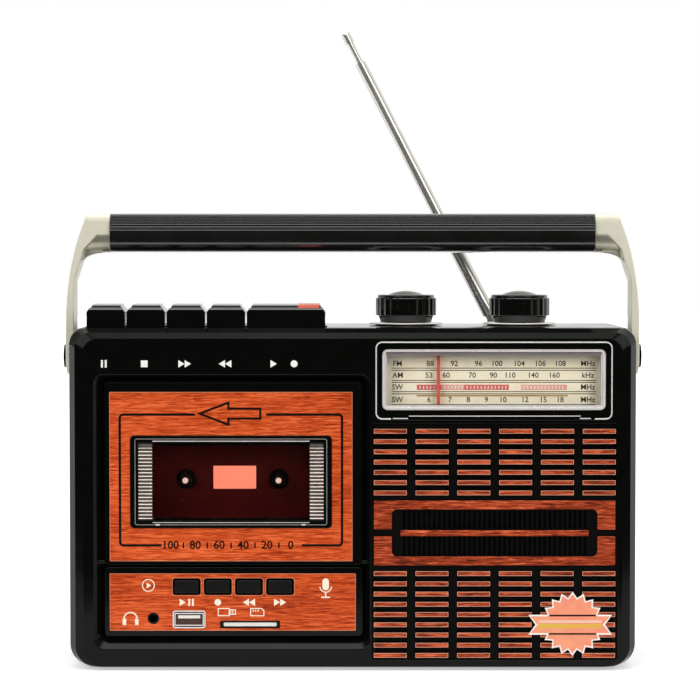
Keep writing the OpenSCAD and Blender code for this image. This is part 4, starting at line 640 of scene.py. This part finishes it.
# plain cream marks on the media panel, under the buttons and beside the sockets
panelMarks = dict(thick=0.05, markZ=31.0, markTall=3.3, kinds=("playPause", "record", "rewind", "forward"),
                  line=0.45, ringSteps=28,
                  card=((-46.2, 24.9), (-40.2, 24.9), (-40.2, 27.2), (-41.2, 28.2), (-46.2, 28.2)),
                  cardPins=(-45.3, -44.2, -43.1), cardPinWide=0.5, cardPinZ=(26.7, 27.6),
                  stick=((-60.9, -55.9, 24.9, 28.2), (-55.5, -53.1, 25.5, 27.6)),
                  stickPins=(25.95, 26.75), stickPinX=(-54.8, -53.9), stickPinTall=0.4,
                  headband=(-100.6, 23.4, 3.0, 16, 0, 180), headbandLine=0.6,
                  ears=(-103.4, -97.8), earHalf=0.8, earZ=(20.6, 23.6),
                  ring=(-92.5, 38.7, 2.7), ringPlay=(-92.2, 38.7, 2.6),
                  capsule=((-12.2, 40.4, 1.5, 9, 0, 180), (-12.2, 38.0, 1.5, 9, 180, 180)),
                  cradle=(-12.2, 38.2, 2.6, 13, 180, 180),
                  stand=((-12.5, -11.9, 33.6, 35.5), (-14.2, -10.2, 33.0, 33.6)))


def markPanel(p):
    # filled shapes are prisms; lines are bands along rectangles, rings and half rings
    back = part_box("panel_facing")[0].y / mm
    front = back - p["thick"]
    filled = [shape for kind, x in zip(p["kinds"], buttonX)
              for shape in markShapes(kind, x, p["markZ"], p["markTall"])]
    filled += [oblong(x, x + p["cardPinWide"], *p["cardPinZ"]) for x in p["cardPins"]]
    filled += [oblong(*p["stickPinX"], z, z + p["stickPinTall"]) for z in p["stickPins"]]
    filled += [oblong(x - p["earHalf"], x + p["earHalf"], *p["earZ"]) for x in p["ears"]]
    filled += markShapes("play", *p["ringPlay"])
    filled.append(np.concatenate([ringPath(*end) for end in p["capsule"]]))
    filled += [oblong(*bar) for bar in p["stand"]]
    rings = [p["card"], *(oblong(*part) for part in p["stick"]), ringPath(*p["ring"], p["ringSteps"])]
    shells = [prism(shape, front, back) for shape in filled]
    shells += [band(path, p["line"], front, back, True) for path in rings]
    shells.append(band(ringPath(*p["headband"]), p["headbandLine"], front, back))
    shells.append(band(ringPath(*p["cradle"]), p["line"], front, back))
    makePiece("panel_marks", shells, inkCream, "cabinet")


markPanel(panelMarks)

# white key marks on the cabinet above the deck
keyMarks = dict(thick=0.05, sunk=0.02, z=139.2, tall=3.4,
                marks=(("pause", -112.1), ("stop", -93.9), ("forward", -75.7), ("rewind", -57.5),
                       ("play", -35.6), ("record", -26.4)))


def markKeys(p):
    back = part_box("front_cabinet")[0].y / mm + p["sunk"]
    shells = [prism(shape, back - p["thick"], back)
              for kind, x in p["marks"] for shape in markShapes(kind, x, p["z"], p["tall"])]
    makePiece("key_marks", shells, inkWhite, "cabinet")


markKeys(keyMarks)

# red tab on the wide key: the cap's own section from its front over its top, laid on at one end
# the slope's points are measured back from the key's front and up from its top
recordTab = dict(x=(-24.8, -15.3), thick=0.08, capBack=-13.8, slope=((3.2, -1.8), (3.8, -0.5), (8.6, 0.0)),
                 lift=((-1.0, 0.3), (-0.8, 0.6), (-0.06, 1.0), (0.0, 1.0)))


def tabKey(p):
    # the section and the same section lifted by the tab's thickness, closed and carried along x
    low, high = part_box("play_key")
    front, top = low.y / mm, high.z / mm
    line = np.array([(front + deep, top + up) for deep, up in p["slope"]] + [(p["capBack"], top)])
    lifted = line + np.array(p["lift"]) * p["thick"]
    points, faces = prism(np.concatenate([line, lifted[::-1]]), *p["x"])
    makePiece("record_tab", [(points[:, [1, 0, 2]], faces)], tabRed, "play_key")


tabKey(recordTab)

# dial print: four rows of plain figures between double lines, a red band and a tan band
dialPrint = dict(thick=0.04, x=(17.7, 110.6), line=0.36, tall=2.4, bold=0.05, leftX=20.4, rightX=107.0,
                 lines=(136.8, 135.8, 131.2, 130.3, 126.1, 125.1, 120.2, 118.9),
                 band=(126.9, 129.3), darkParts=((29.2, 40.4), (50.6, 71.0)),
                 paleParts=((40.4, 50.6), (76.5, 97.4)), tan=(29.1, 97.8, 123.9, 124.7),
                 tickEnds=(1.2, 0.6), tickPitch=1.6, tickWide=0.5, tickInset=0.6, tickProud=0.02,
                 tickSunk=0.01)
# a row: its height, the words at its two ends, its figures and their places along x
dialPrint["rows"] = (
    (138.8, "FM", "MHz", "88 92 96 100 104 106 108", (35.2, 46.2, 57.2, 65.8, 75.9, 85.5, 94.6)),
    (133.5, "AM", "kHz", "53 60 70 90 110 140 160", (34.7, 42.5, 54.4, 64.0, 71.8, 82.3, 91.9)),
    (128.1, "SW", "MHz", "", ()),
    (122.4, "SW", "MHz", "6 7 8 9 10 12 15 18", (34.7, 44.3, 52.6, 60.8, 68.6, 78.6, 86.9, 94.6)))


def printDial(p):
    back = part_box("dial_scale")[0].y / mm
    front = back - p["thick"]
    h = p["line"] / 2
    shells = [prism(oblong(*p["x"], z - h, z + h), front, back) for z in p["lines"]]
    for z, left, right, figures, places in p["rows"]:
        for words, x in zip([*figures.split(), left, right], [*places, p["leftX"], p["rightX"]]):
            shells.append(numerals(words, x, z, p["tall"], front, back, p["bold"]))
    makePiece("dial_figures", shells, inkBrown, "cabinet")
    low, high = p["band"]
    dark = [prism(oblong(a, b, low, high), front, back) for a, b in p["darkParts"]]
    pale = [prism(oblong(a, b, low, high), front, back) for a, b in p["paleParts"]]
    makePiece("dial_band", dark, inkRed, "cabinet")
    makePiece("dial_band_pale", pale, inkPink, "cabinet")
    first, last = p["tickEnds"]
    ticks = np.concatenate([np.arange(a + first, b - last, p["tickPitch"])
                            for a, b in p["darkParts"] + p["paleParts"]])
    marks = [prism(oblong(x, x + p["tickWide"], low + p["tickInset"], high - p["tickInset"]),
                   front - p["tickProud"], front + p["tickSunk"]) for x in ticks]
    makePiece("dial_band_ticks", marks, inkWhite, "cabinet")
    tan = prism(oblong(*p["tan"]), front, back)
    makePiece("dial_band_tan", [tan], inkTan, "cabinet")


printDial(dialPrint)

# lines along the dial's lower lip, and the lens's border, painted light and shade for the ring's inner slope:
# a painted shadow at the top, pale painted light at the sides and foot
dialLip = dict(runs=((25.4, 102.9, 115.6, 0.40), (18.1, 24.9, 114.5, 0.45), (102.4, 107.4, 114.5, 0.45)),
               proud=0.12, root=0.1, border=(14.55, 112.95, 119.45, 144.55), sides=0.95, top=1.7, thick=0.03)


def lineDial(p):
    # the border's four sides are flat outlines that meet on slanted lines at its corners
    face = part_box("dial_bezel")[0].y / mm
    shells = [prism(oblong(x0, x1, z - w / 2, z + w / 2), face - p["proud"], face + p["root"])
              for x0, x1, z, w in p["runs"]]
    makePiece("dial_lip_lines", shells, silverTrim, "cabinet")
    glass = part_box("dial_lens")[0].y / mm
    x0, x1, z0, z1 = p["border"]
    w, t = p["sides"], p["top"]
    # painted light and shade: the dark top strip is a painted shadow under the ring, and the pale sides and
    # foot are painted light on its inner slope
    runs = {"lens_border_top_shadow": ([(x0, z1), (x0 + w, z1 - t), (x1 - w, z1 - t), (x1, z1)], lensShadowPaint),
            "lens_border_foot": ([(x0, z0), (x1, z0), (x1 - w, z0 + w), (x0 + w, z0 + w)], silverTrim),
            "lens_border_left": ([(x0, z0), (x0 + w, z0 + w), (x0 + w, z1 - t), (x0, z1)], silverTrim),
            "lens_border_right": ([(x1, z0), (x1, z1), (x1 - w, z1 - t), (x1 - w, z0 + w)], silverTrim)}
    for name, (outline, dress) in runs.items():
        makePiece(name, [prism(outline, glass - p["thick"], glass)], dress, "cabinet")


lineDial(dialLip)

# plain label on the inside of the window
deckLabel = dict(ends=(-63.0, -43.7), rows=(82.5, 92.9), corner=0.4, thick=0.10, gap=0.01)


def labelWindow(p):
    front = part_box("door_window")[1].y / mm + p["gap"]
    sheet = prism(softOblong(*p["ends"], *p["rows"], p["corner"]), front, front + p["thick"])
    makePiece("deck_label", [sheet], labelPaper, "cassette_door")


labelWindow(deckLabel)

# small pale caps on the two spindles; the profile is radius and depth behind the spindle's tip
spindleCap = dict(centres=(("supply_spindle", -76.25), ("take_up_spindle", -33.75)), z=85.5,
                  profile=((0.0, -0.30), (0.8, -0.24), (1.3, -0.05), (1.55, 0.35), (1.55, 1.3), (0.0, 1.3)))


def capSpindles(p):
    for body, x in p["centres"]:
        cap = turned(np.add(p["profile"], (0.0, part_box(body)[0].y / mm)), x, p["z"])
        makePiece(body + "_cap", [cap], paleSocket, body)


capSpindles(spindleCap)

# inside of the two sockets: a dark back and a pale tongue, and a pale strip in the card slot
socketInside = dict(sunk=0.2, thick=0.4, usb=(-74.06, 23.3), usbHalf=(6.15, 2.45), usbIn=0.5,
                    tongue=(5.0, 0.35, 1.75), tongueThick=0.2,
                    card=(-46.46, 20.9), cardHalf=(12.0, 0.85), cardIn=0.35, cardCorner=0.4)


def fillSockets(p):
    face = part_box("card_slot")[0].y / mm + p["sunk"]
    (x, z), (w, h) = p["usb"], p["usbHalf"]
    inner = face + p["usbIn"]
    end = prism(oblong(x - w, x + w, z - h, z + h), inner, inner + p["thick"])
    makePiece("usb_back", [end], socketBrown, "cabinet")
    half, low, high = p["tongue"]
    tongue = prism(oblong(x - half, x + half, z + low, z + high), inner - p["tongueThick"], inner)
    makePiece("usb_tongue", [tongue], paleSocket, "cabinet")
    (x, z), (w, h) = p["card"], p["cardHalf"]
    inner = face + p["cardIn"]
    strip = prism(softOblong(x - w, x + w, z - h, z + h, p["cardCorner"]), inner, inner + p["thick"])
    makePiece("card_shutter", [strip], paleSocket, "cabinet")


fillSockets(socketInside)

# painted highlight: a pale line round each grille bar, where its bevelled edge catches the light
barEdge = dict(x=9.6, columns=6, pitch=18.86, wide=14.8, tall=2.06, rowPitch=4.65,
               blocks=((7.03, 9), (80.83, 7)), line=0.22, proud=0.03, root=0.25)


def edgeBars(p):
    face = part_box("grille_bars")[0].y / mm
    h = p["line"] / 2
    shells = []
    for x in p["x"] + p["pitch"] * np.arange(p["columns"]):
        for first, count in p["blocks"]:
            for z in first + p["rowPitch"] * np.arange(count):
                path = oblong(x + h, x + p["wide"] - h, z - p["tall"] / 2 + h, z + p["tall"] / 2 - h)
                shells.append(band(path, p["line"], face - p["proud"], face + p["root"], True))
    makePiece("bar_edge_highlights", shells, barEdgeHighlight, "cabinet")


edgeBars(barEdge)

# painted shade: a thin dark sheet behind the grille's slots, standing in for the dark inside of the cabinet
slotShadeSheet = dict(inset=0.6, plate=1.4, gap=0.01, thick=0.06, corner=1.0)


def backSlots(p):
    low, high = (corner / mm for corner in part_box("speaker_grille"))
    i = p["inset"]
    front = low.y + p["plate"] + p["gap"]
    outline = softOblong(low.x + i, high.x - i, low.z + i, high.z - i, p["corner"])
    film = prism(outline, front, front + p["thick"])
    makePiece("slot_shade_sheet", [film], grilleBlack, "cabinet")


backSlots(slotShadeSheet)

# plain paper badge with a ribbon, lying on the edges of the bars; each sheet is one layer thick
badge = dict(x=99.5, z=21.4, points=18, outer=14.6, inner=11.9, rim=0.75, pointRim=1.125,
             ribbon=(-20.0, 17.9), ribbonDrop=0.4, ribbonHalf=4.55, ribbonRim=0.975, notch=3.2, bandInset=4.6,
             bands=((1.45, 0.55), (-0.6, 1.05)), layer=0.02, layers=4)


def starOutline(x, z, outer, inner, points):
    # radius switches between outer and inner at even steps of angle
    step = np.arange(points * 2)
    angle = np.pi / 2 + step * np.pi / points
    radius = np.where(step % 2 == 0, outer, inner)
    return np.column_stack([x + radius * np.cos(angle), z + radius * np.sin(angle)])


def ribbonOutline(x0, x1, z, half, notch):
    # a bar with a notch cut into each end
    return [(x0, z + half), (x0 + notch, z), (x0, z - half), (x1, z - half), (x1 - notch, z), (x1, z + half)]


def stickBadge(p):
    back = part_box("grille_bars")[0].y / mm - barEdge["proud"]
    level = back - p["layer"] * np.arange(p["layers"] + 1)
    x, z, drop = p["x"], p["z"], p["z"] - p["ribbonDrop"]
    x0, x1 = x + p["ribbon"][0], x + p["ribbon"][1]
    r = p["ribbonRim"]
    stars = [starOutline(x, z, p["outer"], p["inner"], p["points"]),
             starOutline(x, z, p["outer"] - p["pointRim"], p["inner"] - p["rim"], p["points"])]
    ribbons = [ribbonOutline(x0, x1, drop, p["ribbonHalf"], p["notch"]),
               ribbonOutline(x0 + r, x1 - r, drop, p["ribbonHalf"] - p["rim"], p["notch"])]
    edge, face = ([prism(star, level[i + 1], level[i]), prism(ribbon, level[i + 2], level[i + 1])]
                  for i, (star, ribbon) in enumerate(zip(stars, ribbons)))
    inset = p["bandInset"]
    pale, yellow = (prism(oblong(x0 + inset, x1 - inset, drop + m - h, drop + m + h), level[-1], level[-2])
                    for m, h in p["bands"])
    makePiece("badge_edge", edge, inkWhite, "cabinet")
    makePiece("badge_face", face, badgeSalmon, "cabinet")
    makePiece("badge_band_pale", [pale], badgePale, "cabinet")
    makePiece("badge_band_yellow", [yellow], badgeYellow, "cabinet")


stickBadge(badge)

# floor, lamps and world; the table ends a little in front of the object
# the room that reflections see: a dim front, a grey left wall, a bright right wall and ceiling, a white back
# a turn is the range of a direction's x, y or z over which one tone passes into the next
studio = dict(floorHalf=6.0, floorFront=-0.24, floorWhite=(0.86, 0.86, 0.86, 1), floorGlow=(0.46, 1.0),
              glowReach=(0.30, 1.5), skyDiffuse=0.55, skyColour=(1.0, 0.99, 0.97, 1), skySeen=1.0,
              wallLeft=(0.50, 0.50, 0.46, 1), wallRight=(1.40, 1.40, 1.28, 1), wallTurn=(-0.4, 0.4),
              frontTone=(0.035, 0.035, 0.032, 1), frontTurn=(-0.45, 0.30),
              white=(1, 1, 1, 1), backTurn=(0.955, 0.975),
              ceiling=(2.4, 2.4, 2.3, 1), ceilingTurn=(0.66, 0.92),
              lamps=(("lampLeft", (-0.9, -1.2, 0.80), 1.1, 8.1),
                     ("lampRight", (0.9, -1.2, 0.70), 1.1, 7.3),
                     ("lampTop", (0.0, -0.1, 1.5), 1.4, 8.8)), aim=(0.0, 0.0, 0.1))


def seenBy(tree, path):
    # 1 for camera, glossy and transmission rays, 0 for the rest
    seen = maths(tree, "ADD", path.outputs["Is Camera Ray"], path.outputs["Is Glossy Ray"], True)
    return maths(tree, "ADD", seen, path.outputs["Is Transmission Ray"], True)


def layFloor(p):
    # a flat sheet; its own glow to the camera grows with distance, so it meets the white behind
    h = p["floorHalf"]
    mesh = bpy.data.meshes.new("floor")
    near = p["floorFront"]
    mesh.from_pydata([(-h, near, 0), (h, near, 0), (h, h, 0), (-h, h, 0)], [], [(0, 1, 2, 3)])
    made = bpy.data.materials.new("paleFloor")
    made.use_nodes = True
    tree = made.node_tree
    tree.nodes.remove(tree.nodes["Principled BSDF"])
    matt = addNode(tree, "ShaderNodeBsdfDiffuse", {"Color": p["floorWhite"]})
    glow = addNode(tree, "ShaderNodeEmission")
    place = addNode(tree, "ShaderNodeTexCoord")
    away = addNode(tree, "ShaderNodeVectorMath", operation="LENGTH")
    tree.links.new(place.outputs["Object"], away.inputs[0])
    grown = spread(tree, away.outputs["Value"], *p["glowReach"], *p["floorGlow"])
    tree.links.new(grown, glow.inputs["Strength"])
    both = addNode(tree, "ShaderNodeAddShader")
    pick = addNode(tree, "ShaderNodeMixShader")
    path = addNode(tree, "ShaderNodeLightPath")
    tree.links.new(matt.outputs[0], both.inputs[0])
    tree.links.new(glow.outputs[0], both.inputs[1])
    tree.links.new(seenBy(tree, path), pick.inputs[0])
    tree.links.new(matt.outputs[0], pick.inputs[1])
    tree.links.new(both.outputs[0], pick.inputs[2])
    tree.links.new(pick.outputs[0], tree.nodes["Material Output"].inputs["Surface"])
    mesh.materials.append(made)
    floor = bpy.data.objects.new("floor", mesh)
    bpy.context.scene.collection.objects.link(floor)


def hangLamps(p):
    for name, place, size, watts in p["lamps"]:
        data = bpy.data.lights.new(name, "AREA")
        data.shape = "DISK"
        data.size = size
        data.energy = watts
        lamp = bpy.data.objects.new(name, data)
        lamp.location = place
        lamp.rotation_euler = (Vector(place) - Vector(p["aim"])).to_track_quat("Z", "Y").to_euler()
        bpy.context.scene.collection.objects.link(lamp)


def roomTone(tree, p):
    # colour of the room by direction: front, then the walls from left to right, the back and the ceiling
    place = addNode(tree, "ShaderNodeTexCoord")
    parts = addNode(tree, "ShaderNodeSeparateXYZ")
    tree.links.new(place.outputs["Generated"], parts.inputs[0])
    across, deep, up = parts.outputs
    walls = mixColour(tree, spread(tree, across, *p["wallTurn"]), p["wallLeft"], p["wallRight"])
    tone = mixColour(tree, spread(tree, deep, *p["frontTurn"]), p["frontTone"], walls)
    tone = mixColour(tree, spread(tree, deep, *p["backTurn"]), tone, p["white"])
    return mixColour(tree, spread(tree, up, *p["ceilingTurn"]), tone, p["ceiling"])


def lightSky(p):
    world = bpy.data.worlds.new("studioSky")
    bpy.context.scene.world = world
    world.use_nodes = True
    tree = world.node_tree
    dim = tree.nodes["Background"]
    dim.inputs["Color"].default_value = p["skyColour"]
    dim.inputs["Strength"].default_value = p["skyDiffuse"]
    white = addNode(tree, "ShaderNodeBackground", {"Strength": p["skySeen"]})
    pick = addNode(tree, "ShaderNodeMixShader")
    path = addNode(tree, "ShaderNodeLightPath")
    tone = mixColour(tree, path.outputs["Is Glossy Ray"], p["white"], roomTone(tree, p))
    tree.links.new(tone, white.inputs["Color"])
    tree.links.new(seenBy(tree, path), pick.inputs[0])
    tree.links.new(dim.outputs[0], pick.inputs[1])
    tree.links.new(white.outputs[0], pick.inputs[2])
    tree.links.new(pick.outputs[0], tree.nodes["World Output"].inputs["Surface"])


layFloor(studio)
hangLamps(studio)
lightSky(studio)
print("studio lit")
